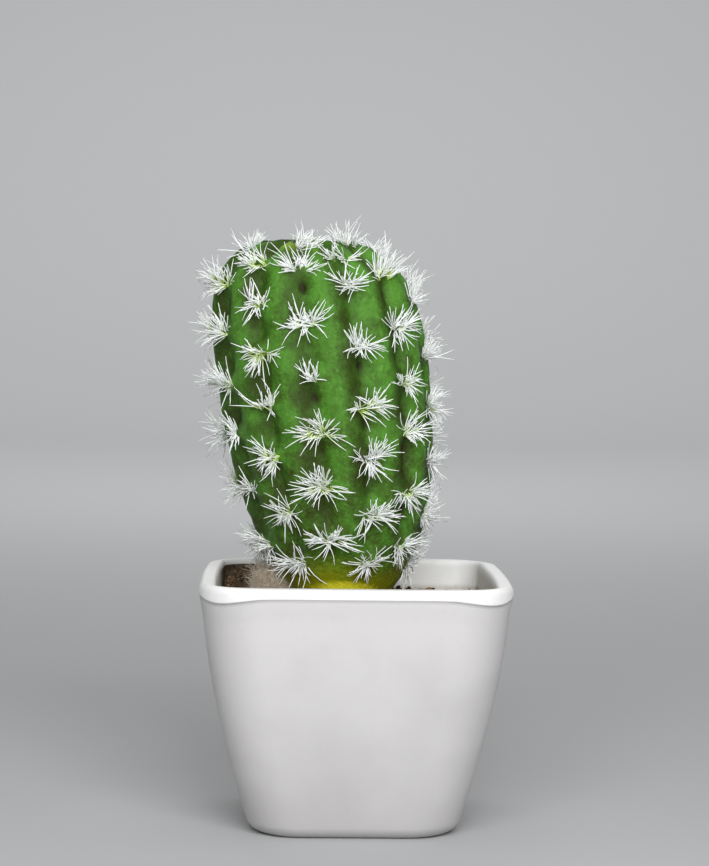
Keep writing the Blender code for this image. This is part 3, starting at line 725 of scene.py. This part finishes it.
def fibre_skin(look):
    """Dry coir: fine fibres that lie matted over the wad, and a few strewn over the soil."""
    draw = np.random.default_rng(83)
    matted = look.fibre_count
    around = draw.uniform(0.0, 2.0 * math.pi, matted)
    lie, ball = wad_point(around, np.arcsin(draw.uniform(-0.35, 1.0, matted)))
    strewn = ground_places(draw, look.strewn_count, 1.5 * MM)
    ground = soil_height(strewn[:, 0], strewn[:, 1], look.relief) + 0.25 * MM
    roots = np.vstack([lie + ball * 0.05 * MM, np.column_stack([strewn, ground])])
    out = np.vstack([ball, np.tile((0.0, 0.0, 1.0), (len(strewn), 1))])
    count = len(roots)
    across = unit(np.cross(out, draw.normal(size=(count, 3))))
    lift = np.radians(np.append(draw.normal(16.0, 14.0, matted), draw.normal(4.0, 5.0, len(strewn))))[:, None]
    directions = np.cos(lift) * across + np.sin(lift) * out
    stray = draw.normal(0.0, 0.55, (count, 3)) - 0.45 * out
    bends = stray - np.sum(stray * directions, axis=1, keepdims=True) * directions
    lengths = np.append(draw.uniform(1.6, 5.2, matted), draw.uniform(2.0, 6.0, len(strewn))) * MM
    radii = np.append(draw.uniform(0.03, 0.06, matted), draw.uniform(0.05, 0.09, len(strewn))) * MM
    rings = threads(roots, directions, bends, lengths, radii, 6, 3)
    tone = np.broadcast_to(draw.uniform(0.0, 1.0, count)[:, None, None], rings.shape[:3])
    return many_skins(rings), {"tone": tone}


def chip_skin(look, number):
    """One bark chip: an ellipsoid on a grid of angles, with lumps, cut nearly flat above and below."""
    x, y, length, turn = BARK_CHIPS[number]
    polar = np.linspace(0.0, math.pi, 17)[1:-1][::-1, None]
    around = np.linspace(0.0, 2.0 * math.pi, 24, endpoint=False)[None]
    flat = (np.sin(polar) * np.cos(around), np.sin(polar) * np.sin(around))
    ball = np.stack(np.broadcast_arrays(*flat, np.cos(polar)), axis=-1)
    ball = np.concatenate([ball, [np.broadcast_to((0.0, 0.0, 1.0), ball.shape[1:])]])
    shift = np.array((number * 3.1, 0.0, 0.0))
    uneven = ball * (1.0 + 0.22 * lumps(ball + shift, 0.6, 31) + 0.08 * lumps(ball + shift, 0.22, 37))[..., None]
    uneven[..., 2] = np.tanh(1.6 * uneven[..., 2]) / math.tanh(1.6)
    shaped = uneven * np.array(CHIP_SHAPE) * length * MM
    cos, sin = math.cos(math.radians(turn)), math.sin(math.radians(turn))
    turned = shaped @ np.array([[cos, sin, 0.0], [-sin, cos, 0.0], [0.0, 0.0, 1.0]])
    ground = soil_height(np.array([x * MM]), np.array([y * MM]), look.relief)[0]
    placed = turned + (x * MM, y * MM, ground + 0.6 * CHIP_SHAPE[2] * length * MM)
    return closed_skin(placed[:-1], placed[0].mean(axis=0) - (0.0, 0.0, 0.02 * MM), placed[-1].mean(axis=0))


# Finishes


def add_node(tree, kind, inputs=None, stops=(), **settings):
    """Adds a node: its settings, a ramp's stops as (place, hex code), and each input's value or link."""
    node = tree.nodes.new(kind)
    for name, value in settings.items():
        setattr(node, name, value)
    for number, (place, code) in enumerate(stops):
        elements = node.color_ramp.elements
        stop = elements[number] if number < len(elements) else elements.new(place)
        stop.position = place
        stop.color = (*linear(code), 1.0)
    for socket, value in (inputs or {}).items():
        if isinstance(value, bpy.types.NodeSocket):
            tree.links.new(value, node.inputs[socket])
        else:
            node.inputs[socket].default_value = value
    return node


def new_finish(name):
    """A material with a Principled shader and an output, and nothing else."""
    finish = bpy.data.materials.new(name)
    finish.use_nodes = True
    finish.node_tree.nodes.clear()
    shader = add_node(finish.node_tree, "ShaderNodeBsdfPrincipled")
    add_node(finish.node_tree, "ShaderNodeOutputMaterial", {"Surface": shader.outputs[0]})
    return finish, finish.node_tree, shader


def glazed_ceramic(look):
    """Earthenware dipped in white satin glaze: soft wide highlights and a faint waviness where the glaze ran.
    The lip and the inside are a bright white, a painted highlight; the wall is a greyer white with painted
    shade that deepens towards the base, broken by random patches. Inside there is dust, and soil stains low on the
    wall."""
    finish, tree, shader = new_finish("glazed_ceramic")
    place = add_node(tree, "ShaderNodeTexCoord").outputs["Object"]
    waves = add_node(tree, "ShaderNodeTexNoise", {"Vector": place, "Scale": 1.0 / (14.0 * MM), "Detail": 2.0})
    cloud = add_node(tree, "ShaderNodeTexNoise", {"Vector": place, "Scale": 1.0 / (22.0 * MM), "Detail": 3.0})
    split = add_node(tree, "ShaderNodeSeparateXYZ", {"Vector": place})
    # Painted shade: the wall's glaze darkens towards the base, with random patches from the cloud noise.
    painted_shade_and_patches = add_node(
        tree,
        "ShaderNodeMath",
        {0: split.outputs["Z"], 1: 0.7 / POT_HEIGHT, 2: cloud.outputs[0]},
        operation="MULTIPLY_ADD",
    )
    shaded_wall_glaze = add_node(
        tree,
        "ShaderNodeValToRGB",
        {0: painted_shade_and_patches.outputs[0]},
        stops=((0.50, look.wall_glaze_deeper_painted_shade), (1.0, look.wall_glaze_painted_shade)),
    )
    # Painted highlight: the lip and the inside get the brighter white.
    lip = add_node(tree, "ShaderNodeAttribute", attribute_name="lip")
    glaze = add_node(
        tree,
        "ShaderNodeMix",
        {MIX_FACTOR: lip.outputs["Fac"], MIX_A: shaded_wall_glaze.outputs[0], MIX_B: (*linear(look.lip_glaze_painted_highlight), 1.0)},
        data_type="RGBA",
    )
    dirt = add_node(tree, "ShaderNodeAttribute", attribute_name="stain")
    grime = add_node(
        tree, "ShaderNodeTexNoise", {"Vector": place, "Scale": 1.0 / (2.5 * MM), "Detail": 8.0, "Roughness": 0.65}
    )
    edge = add_node(
        tree, "ShaderNodeMath", {0: grime.outputs[0], 1: 0.55, 2: dirt.outputs["Fac"]}, operation="MULTIPLY_ADD"
    )
    spots = add_node(
        tree, "ShaderNodeMapRange", {"Value": edge.outputs[0], "From Min": 0.30, "From Max": 1.10, "To Max": 0.95}
    )
    brown = add_node(
        tree,
        "ShaderNodeValToRGB",
        {0: edge.outputs[0]},
        stops=((0.45, "#B3A99A"), (0.90, "#8F7A58"), (1.25, "#4A3822")),
    )
    stained = add_node(
        tree,
        "ShaderNodeMix",
        {MIX_FACTOR: spots.outputs[0], MIX_A: glaze.outputs[MIXED], MIX_B: brown.outputs[0]},
        data_type="RGBA",
    )
    tree.links.new(stained.outputs[MIXED], shader.inputs["Base Color"])
    bump = add_node(tree, "ShaderNodeBump", {"Height": waves.outputs[0], "Strength": 0.35, "Distance": 0.25 * MM})
    tree.links.new(bump.outputs[0], shader.inputs["Normal"])
    shader.inputs["Roughness"].default_value = 0.5
    shader.inputs["IOR"].default_value = 1.5
    return finish


def cactus_skin(look):
    """Waxy cactus skin over watery flesh: a satin green with fine leathery grain and pale flecks of wax.
    It grows lighter with height, partly younger skin at the crown and partly painted light, with painted shade
    low on the stem; broad soft zones of dark olive along the furrows and near black in the pits under the tufts
    are painted shade; and it is yellow where the foot is bleached."""
    finish, tree, shader = new_finish("cactus_skin")
    place = add_node(tree, "ShaderNodeTexCoord").outputs["Object"]
    height = add_node(tree, "ShaderNodeAttribute", attribute_name="height")
    blotch = add_node(
        tree, "ShaderNodeTexNoise", {"Vector": place, "Scale": 1.0 / (6.0 * MM), "Detail": 8.0, "Roughness": 0.66}
    )
    grain = add_node(
        tree, "ShaderNodeTexNoise", {"Vector": place, "Scale": 1.0 / (1.0 * MM), "Detail": 5.0, "Roughness": 0.72}
    )
    pebbled = add_node(
        tree, "ShaderNodeMath", {0: grain.outputs[0], 1: 0.35, 2: blotch.outputs[0]}, operation="MULTIPLY_ADD"
    )
    # Lighter with height: partly younger skin towards the crown, partly painted light above and painted shade low on
    # the stem.
    mottle_and_painted_height_shade = add_node(
        tree, "ShaderNodeMath", {0: height.outputs["Fac"], 1: 0.34, 2: pebbled.outputs[0]}, operation="MULTIPLY_ADD"
    )
    green = add_node(
        tree,
        "ShaderNodeValToRGB",
        {0: mottle_and_painted_height_shade.outputs[0]},
        stops=((0.62, look.dark_skin), (0.84, look.skin), (1.0, look.young_skin)),
    )
    wax = add_node(
        tree, "ShaderNodeMapRange", {"Value": grain.outputs[0], "From Min": 0.52, "From Max": 0.74, "To Max": 0.45}
    )
    waxed = add_node(
        tree,
        "ShaderNodeMix",
        {MIX_FACTOR: wax.outputs[0], MIX_A: green.outputs[0], MIX_B: (*linear("#74A84A"), 1.0)},
        data_type="RGBA",
    )
    # Painted shade: dark olive in broad ragged zones along the furrows, set 1.8 mm to one side.
    valley = add_node(tree, "ShaderNodeAttribute", attribute_name="valley")
    ragged = add_node(
        tree, "ShaderNodeMath", {0: blotch.outputs[0], 1: -1.9, 2: valley.outputs["Fac"]}, operation="MULTIPLY_ADD"
    )
    shade = add_node(
        tree, "ShaderNodeMapRange", {"Value": ragged.outputs[0], "From Min": -0.72, "From Max": 0.10, "To Max": 0.86}
    )
    olive = add_node(
        tree,
        "ShaderNodeMix",
        {MIX_FACTOR: shade.outputs[0], MIX_A: waxed.outputs[MIXED], MIX_B: (*linear("#2D380B"), 1.0)},
        data_type="RGBA",
    )
    # Painted shade: near black in the pits under the tufts.
    pit = add_node(tree, "ShaderNodeAttribute", attribute_name="pit")
    hollow = add_node(
        tree, "ShaderNodeMapRange", {"Value": pit.outputs["Fac"], "From Min": 0.15, "From Max": 0.60, "To Max": 0.92}
    )
    pit_shaded = add_node(
        tree,
        "ShaderNodeMix",
        {MIX_FACTOR: hollow.outputs[0], MIX_A: olive.outputs[MIXED], MIX_B: (*linear("#241F08"), 1.0)},
        data_type="RGBA",
    )
    foot = add_node(tree, "ShaderNodeAttribute", attribute_name="foot")
    yellowed = add_node(
        tree,
        "ShaderNodeMix",
        {MIX_FACTOR: foot.outputs["Fac"], MIX_A: pit_shaded.outputs[MIXED], MIX_B: (*linear("#B2B20E"), 1.0)},
        data_type="RGBA",
    )
    bleached = add_node(tree, "ShaderNodeAttribute", attribute_name="bleached")
    uneven = add_node(
        tree, "ShaderNodeMath", {0: bleached.outputs["Fac"], 1: grain.outputs[0]}, operation="MULTIPLY"
    )
    patch = add_node(
        tree, "ShaderNodeMapRange", {"Value": uneven.outputs[0], "From Min": 0.14, "From Max": 0.34, "To Max": 0.97}
    )
    foot_end = add_node(
        tree,
        "ShaderNodeMix",
        {MIX_FACTOR: patch.outputs[0], MIX_A: yellowed.outputs[MIXED], MIX_B: (*linear("#FFF83A"), 1.0)},
        data_type="RGBA",
    )
    growth = add_node(tree, "ShaderNodeAttribute", attribute_name="growth")
    tender = add_node(
        tree, "ShaderNodeMath", {0: growth.outputs["Fac"], 1: 0.8}, operation="MULTIPLY"
    )
    grown = add_node(
        tree,
        "ShaderNodeMix",
        {MIX_FACTOR: tender.outputs[0], MIX_A: foot_end.outputs[MIXED], MIX_B: (*linear("#93B82C"), 1.0)},
        data_type="RGBA",
    )
    tree.links.new(grown.outputs[MIXED], shader.inputs["Base Color"])
    bump = add_node(tree, "ShaderNodeBump", {"Height": grain.outputs[0], "Strength": 0.85, "Distance": 0.45 * MM})
    tree.links.new(bump.outputs[0], shader.inputs["Normal"])
    shader.inputs["Roughness"].default_value = 0.50
    shader.inputs["IOR"].default_value = 1.42
    shader.inputs["Specular IOR Level"].default_value = 0.3
    return finish


def dry_spine():
    """Dry horny bristles: yellow-green where they leave the skin, bleached to a cool white beyond."""
    finish, tree, shader = new_finish("dry_spine")
    along = add_node(tree, "ShaderNodeAttribute", attribute_name="along")
    colour = add_node(
        tree,
        "ShaderNodeValToRGB",
        {0: along.outputs["Fac"]},
        stops=((0.0, "#B9D566"), (0.18, "#E2EFCF"), (0.38, "#F9FCFB")),
    )
    tree.links.new(colour.outputs[0], shader.inputs["Base Color"])
    shader.inputs["Roughness"].default_value = 0.45
    shader.inputs["IOR"].default_value = 1.54
    return finish


def potting_soil():
    """Peat and bark mulch: crumbly and matt, almost black where it is damp, with paler brown bits."""
    finish, tree, shader = new_finish("potting_soil")
    place = add_node(tree, "ShaderNodeTexCoord").outputs["Object"]
    clods = add_node(
        tree, "ShaderNodeTexNoise", {"Vector": place, "Scale": 1.0 / (1.6 * MM), "Detail": 8.0, "Roughness": 0.7}
    )
    colour = add_node(
        tree,
        "ShaderNodeValToRGB",
        {0: clods.outputs[0]},
        stops=((0.32, "#2A1F12"), (0.55, "#54412A"), (0.75, "#8C7350")),
    )
    tree.links.new(colour.outputs[0], shader.inputs["Base Color"])
    bump = add_node(tree, "ShaderNodeBump", {"Height": clods.outputs[0], "Strength": 0.9, "Distance": 0.5 * MM})
    tree.links.new(bump.outputs[0], shader.inputs["Normal"])
    shader.inputs["Roughness"].default_value = 0.95
    return finish


def bark():
    """Pine bark: matt, layered, rust brown with darker streaks and a paler broken edge."""
    finish, tree, shader = new_finish("bark")
    place = add_node(tree, "ShaderNodeTexCoord").outputs["Object"]
    stretched = add_node(tree, "ShaderNodeMapping", {"Vector": place, "Scale": (1.0, 1.0, 4.0)})
    layers = add_node(
        tree, "ShaderNodeTexNoise", {"Vector": stretched.outputs[0], "Scale": 1.0 / (1.2 * MM), "Detail": 6.0}
    )
    colour = add_node(
        tree,
        "ShaderNodeValToRGB",
        {0: layers.outputs[0]},
        stops=((0.35, "#4A3420"), (0.55, "#8A6540"), (0.72, "#B89B70")),
    )
    tree.links.new(colour.outputs[0], shader.inputs["Base Color"])
    bump = add_node(tree, "ShaderNodeBump", {"Height": layers.outputs[0], "Strength": 0.8, "Distance": 0.2 * MM})
    tree.links.new(bump.outputs[0], shader.inputs["Normal"])
    shader.inputs["Roughness"].default_value = 0.9
    return finish


def peat_crumb():
    """Crumbs of peat with the odd bit of bark: each has its own tone from near black to tan."""
    finish, tree, shader = new_finish("peat_crumb")
    tone = add_node(tree, "ShaderNodeAttribute", attribute_name="tone")
    colour = add_node(
        tree,
        "ShaderNodeValToRGB",
        {0: tone.outputs["Fac"]},
        stops=((0.0, "#241A0F"), (0.55, "#4E3B25"), (0.82, "#8A7050"), (1.0, "#C2AB80")),
    )
    place = add_node(tree, "ShaderNodeTexCoord").outputs["Object"]
    grain = add_node(tree, "ShaderNodeTexNoise", {"Vector": place, "Scale": 1.0 / (0.5 * MM), "Detail": 4.0})
    bump = add_node(tree, "ShaderNodeBump", {"Height": grain.outputs[0], "Strength": 0.8, "Distance": 0.15 * MM})
    tree.links.new(colour.outputs[0], shader.inputs["Base Color"])
    tree.links.new(bump.outputs[0], shader.inputs["Normal"])
    shader.inputs["Roughness"].default_value = 0.95
    return finish


def coir():
    """Coconut fibre and dry root hair: matt, straw to grey-beige, each fibre with its own tone."""
    finish, tree, shader = new_finish("coir")
    tone = add_node(tree, "ShaderNodeAttribute", attribute_name="tone")
    colour = add_node(
        tree,
        "ShaderNodeValToRGB",
        {0: tone.outputs["Fac"]},
        stops=((0.0, "#A7967E"), (0.6, "#D0C3AE"), (1.0, "#ECE4D6")),
    )
    tree.links.new(colour.outputs[0], shader.inputs["Base Color"])
    shader.inputs["Roughness"].default_value = 0.8
    return finish


def felted_coir():
    """Coir dust and root hair felted together: matt, grey-beige to brown, with fine threads across it."""
    finish, tree, shader = new_finish("felted_coir")
    place = add_node(tree, "ShaderNodeTexCoord").outputs["Object"]
    patches = add_node(tree, "ShaderNodeTexNoise", {"Vector": place, "Scale": 1.0 / (1.8 * MM), "Detail": 7.0})
    colour = add_node(
        tree,
        "ShaderNodeValToRGB",
        {0: patches.outputs[0]},
        stops=((0.32, "#A89880"), (0.48, "#CDBFA9"), (0.70, "#E2D8C6")),
    )
    tree.links.new(colour.outputs[0], shader.inputs["Base Color"])
    fuzz = add_node(tree, "ShaderNodeTexNoise", {"Vector": place, "Scale": 1.0 / (0.35 * MM), "Detail": 3.0})
    bump = add_node(tree, "ShaderNodeBump", {"Height": fuzz.outputs[0], "Strength": 0.9, "Distance": 0.2 * MM})
    tree.links.new(bump.outputs[0], shader.inputs["Normal"])
    shader.inputs["Roughness"].default_value = 0.95
    return finish


def stage_floor(look):
    """Seamless paper: plain, pale and matt."""
    finish, tree, shader = new_finish("seamless_paper")
    shader.inputs["Base Color"].default_value = (*look.floor_colour, 1.0)
    shader.inputs["Roughness"].default_value = 0.9
    return finish


# Settings


class PotLook(bpy.types.PropertyGroup):
    """What a user would change on the pot."""

    # The lip colour is the glaze's white with a painted highlight; the wall colours are greyer, with painted shade
    # that deepens towards the base.
    lip_glaze_painted_highlight: StringProperty(
        name="Lip glaze, painted highlight", description="Hex code of the glaze on the lip", default="#F4F4F3"
    )
    wall_glaze_painted_shade: StringProperty(
        name="Wall glaze, painted shade", description="Hex code of the glaze on the wall", default="#CECCCD"
    )
    wall_glaze_deeper_painted_shade: StringProperty(
        name="Wall glaze, deeper painted shade", description="Hex code of the wall's darker patches", default="#BFBDBD"
    )


class SoilLook(bpy.types.PropertyGroup):
    """What a user would change on the soil and what lies on it."""

    relief: FloatProperty(name="Relief", description="Height of the soil's clods", default=1.1 * MM, unit="LENGTH")
    crumb_count: IntProperty(name="Crumbs", description="Number of loose crumbs", default=1800, min=1)
    crumb_size: FloatProperty(name="Crumb size", description="Width of a crumb", default=0.9 * MM, unit="LENGTH")
    fibre_count: IntProperty(name="Matted fibres", description="Number of fibres on the wad", default=1500, min=1)
    strewn_count: IntProperty(name="Strewn fibres", description="Number of fibres on the soil", default=34, min=1)


class StemLook(bpy.types.PropertyGroup):
    """What a user would change on the stem."""

    skin: StringProperty(name="Skin", description="Hex code of the grown skin", default="#44751E")
    # The dark skin is the darkest blotches and, as painted shade, the skin low on the stem; the young skin is the
    # upper skin, partly painted light.
    dark_skin: StringProperty(name="Dark skin, with painted shade", description="Hex code of the darkest skin, also painted shade low down", default="#3B480F")
    young_skin: StringProperty(name="Young skin", description="Hex code of the upper skin", default="#4F8729")
    furrow_depth: FloatProperty(
        name="Furrow depth", description="Depth of the furrows below the crests", default=2.6 * MM, unit="LENGTH"
    )
    knob_height: FloatProperty(
        name="Knob height", description="Height of the knob that a tuft stands on", default=2.3 * MM, unit="LENGTH"
    )
    pit_depth: FloatProperty(
        name="Pit depth", description="Depth of the pit below a tuft", default=0.7 * MM, unit="LENGTH"
    )
    skin_relief: FloatProperty(
        name="Skin relief",
        description="Height that the skin's lumps are multiples of",
        default=1.0 * MM,
        unit="LENGTH",
    )
    bundles: IntProperty(name="Bundles", description="Bundles of bristles in a tuft", default=17, min=1)
    bristle_length: FloatProperty(
        name="Bristle length", description="Length of a long bristle", default=7.7 * MM, unit="LENGTH"
    )
    bristle_thickness: FloatProperty(
        name="Bristle thickness", description="Thickness of a bristle at its root", default=0.31 * MM, unit="LENGTH"
    )
    tuft_half_width: FloatProperty(
        name="Tuft half width",
        description="Half the width of the line that a tuft grows from",
        default=1.7 * MM,
        unit="LENGTH",
    )


class StageLook(bpy.types.PropertyGroup):
    """What a user would change on the stage."""

    floor_colour: FloatVectorProperty(
        name="Floor", description="Colour of the floor", default=linear("#B9BABB"), subtype="COLOR"
    )
    key_power: FloatProperty(
        name="Main light", description="Power of the light on the right", default=3.8, unit="POWER"
    )
    fill_power: FloatProperty(
        name="Second light", description="Power of the light on the left", default=2.5, unit="POWER"
    )
    back_power: FloatProperty(name="Back light", description="Power of the light behind", default=0.9, unit="POWER")
    wall_power: FloatProperty(
        name="Backdrop light", description="Power of the light on the backdrop", default=16.0, unit="POWER"
    )
    sky: FloatProperty(name="Sky", description="Strength of the even light from all round", default=0.20)


# Operators


class CACTUS_OT_pot(bpy.types.Operator):
    """Build the pot"""

    bl_idname = "cactus.pot"
    bl_label = "Pot"

    def execute(self, context):
        look = context.scene.cactus_pot
        skin, lip, inside = pot_skin()
        # The lip mark picks the lip and the inside, which get a painted highlight.
        marks = {"lip": lip, "stain": inside * wall_stain(*skin[0].T)}
        add_piece("pot_glazed", skin, glazed_ceramic(look), ("pot",), marks)
        return {"FINISHED"}


class CACTUS_OT_soil(bpy.types.Operator):
    """Build the soil"""

    bl_idname = "cactus.soil"
    bl_label = "Soil"

    def execute(self, context):
        look = context.scene.cactus_soil
        add_piece("soil_bed", soil_skin(look.relief), potting_soil(), ("soil",))
        skin, marks = crumb_skin(look)
        add_piece("soil_crumbs", skin, peat_crumb(), marks=marks, flat=True)
        add_piece("coir_wad", wad_skin(), felted_coir())
        skin, marks = fibre_skin(look)
        add_piece("coir_fibres", skin, coir(), marks=marks)
        return {"FINISHED"}


class CACTUS_OT_bark(bpy.types.Operator):
    """Build the bits of bark on the soil"""

    bl_idname = "cactus.bark"
    bl_label = "Bark chips"

    def execute(self, context):
        look = context.scene.cactus_soil
        finish = bark()
        for number in range(len(BARK_CHIPS)):
            node = f"bark_chip_{number + 1}"
            add_piece(f"rough_{node}", chip_skin(look, number), finish, (node,))
        return {"FINISHED"}


class CACTUS_OT_stem(bpy.types.Operator):
    """Build the stem"""

    bl_idname = "cactus.stem"
    bl_label = "Stem"

    def execute(self, context):
        look = context.scene.cactus_stem
        skin, marks = stem_skin(look)
        add_piece("stem_skin", skin, cactus_skin(look), ("cactus_stem",), marks)
        return {"FINISHED"}


class CACTUS_OT_spines(bpy.types.Operator):
    """Build the tufts of bristles"""

    bl_idname = "cactus.spines"
    bl_label = "Spine tufts"

    def execute(self, context):
        look = context.scene.cactus_stem
        finish = dry_spine()
        for row in range(1, FURROWS + 1):
            skin, marks = bristle_skin(look, np.random.default_rng(500 + row), row_tufts(look, row))
            add_piece(f"bristles_row_{row:02d}", skin, finish, (f"spine_row_{row:02d}",), marks)
        skin, marks = bristle_skin(look, np.random.default_rng(500), crown_tufts(look))
        add_piece("bristles_crown", skin, finish, ("crown_tuft",), marks)
        return {"FINISHED"}


class CACTUS_OT_stage(bpy.types.Operator):
    """Build the floor, the lights and the camera"""

    bl_idname = "cactus.stage"
    bl_label = "Stage"

    def execute(self, context):
        look = context.scene.cactus_stage
        add_floor(look)
        add_light("main_light", (0.17, -0.63, 0.42), 0.36, look.key_power)
        add_light("second_light", (-0.17, -0.63, 0.42), 0.36, look.fill_power)
        add_light("back_light", (0.0, 1.08, 0.50), 0.60, look.back_power)
        add_light("wall_light", (0.0, 1.2, 2.2), 1.6, look.wall_power, (0.0, 1.9, 0.2), 110.0)
        add_sky(context.scene, look.sky)
        add_camera(context.scene)
        context.scene.view_settings.view_transform = "Standard"
        return {"FINISHED"}


def add_floor(look):
    """Adds the floor: a round sheet, flat out to 0.9 m and then rising as a quarter circle of 2.2 m."""
    flat, rise = 0.9, 2.2
    turn = np.linspace(0.0, math.pi / 2.0, 48)
    radius = np.concatenate([np.linspace(0.05, flat, 12, endpoint=False), flat + rise * np.sin(turn)])
    height = np.concatenate([np.zeros(12), rise * (1.0 - np.cos(turn))])
    around = np.linspace(0.0, 2.0 * math.pi, 96, endpoint=False)
    rings = np.stack(
        [radius[:, None] * np.cos(around), radius[:, None] * np.sin(around), height[:, None] + 0.0 * around], axis=-1
    )
    quads = ring_quads(len(radius), len(around))[:, ::-1].tolist()
    mesh = bpy.data.meshes.new("floor")
    mesh.from_pydata(rings.reshape(-1, 3), [], quads + [list(range(len(around)))])
    mesh.shade_smooth()
    mesh.materials.append(stage_floor(look))
    floor = bpy.data.objects.new("floor", mesh)
    bpy.context.scene.collection.objects.link(floor)


def add_light(name, place, width, power, target=(0.0, 0.0, 0.08), spread=180.0):
    """Adds a square soft light that faces its target, or else the plant's middle. The spread is in degrees."""
    light = bpy.data.lights.new(name, "AREA")
    light.size = width
    light.energy = power
    light.spread = math.radians(spread)
    lamp = bpy.data.objects.new(name, light)
    lamp.location = place
    aim = Vector(target) - lamp.location
    lamp.rotation_euler = aim.to_track_quat("-Z", "Y").to_euler()
    bpy.context.scene.collection.objects.link(lamp)


def add_sky(scene, strength):
    """Gives the scene an even white sky."""
    scene.world = bpy.data.worlds.new("even_sky")
    scene.world.use_nodes = True
    background = scene.world.node_tree.nodes["Background"]
    background.inputs["Color"].default_value = (1.0, 1.0, 1.0, 1.0)
    background.inputs["Strength"].default_value = strength


def add_camera(scene):
    """Adds the camera: turned up to face +Y, then down by the pitch, right by the yaw, and rolled."""
    camera = bpy.data.objects.new("camera", bpy.data.cameras.new("camera"))
    camera.data.lens = FOCAL_LENGTH
    turn = Matrix.Rotation(math.radians(-CAMERA_YAW), 4, "Z")
    tilt = Matrix.Rotation(math.radians(90.0 - CAMERA_PITCH), 4, "X")
    roll = Matrix.Rotation(math.radians(-CAMERA_ROLL), 4, "Z")
    camera.matrix_world = Matrix.Translation(CAMERA_PLACE) @ turn @ tilt @ roll
    scene.collection.objects.link(camera)
    scene.camera = camera


class CACTUS_PT_panel(bpy.types.Panel):
    """Lists the steps that build the plant"""

    bl_idname = "CACTUS_PT_panel"
    bl_label = "Potted cactus"
    bl_space_type = "VIEW_3D"
    bl_region_type = "UI"
    bl_category = "Potted cactus"

    def draw(self, context):
        for name, steps in PARTS.items():
            box = self.layout.box()
            look = getattr(context.scene, name)
            for prop in look.bl_rna.properties:
                if prop.identifier not in ("rna_type", "name"):
                    box.prop(look, prop.identifier)
            for step in steps:
                box.operator(step.bl_idname)


PARTS = {
    "cactus_pot": (CACTUS_OT_pot,),
    "cactus_soil": (CACTUS_OT_soil, CACTUS_OT_bark),
    "cactus_stem": (CACTUS_OT_stem, CACTUS_OT_spines),
    "cactus_stage": (CACTUS_OT_stage,),
}
LOOKS = {"cactus_pot": PotLook, "cactus_soil": SoilLook, "cactus_stem": StemLook, "cactus_stage": StageLook}
CLASSES = (*LOOKS.values(), *itertools.chain(*PARTS.values()), CACTUS_PT_panel)


def register():
    """Makes Blender know the classes and gives the scene its settings."""
    for each in CLASSES:
        bpy.utils.register_class(each)
    for name, group in LOOKS.items():
        setattr(bpy.types.Scene, name, PointerProperty(type=group))


def unregister():
    """Takes the settings and the classes away again."""
    for name in LOOKS:
        delattr(bpy.types.Scene, name)
    for each in reversed(CLASSES):
        bpy.utils.unregister_class(each)


def main():
    """Builds every piece and the stage, in order."""
    register()
    bpy.ops.cactus.pot()
    bpy.ops.cactus.soil()
    bpy.ops.cactus.bark()
    bpy.ops.cactus.stem()
    bpy.ops.cactus.spines()
    bpy.ops.cactus.stage()


if __name__ == "__main__":
    main()
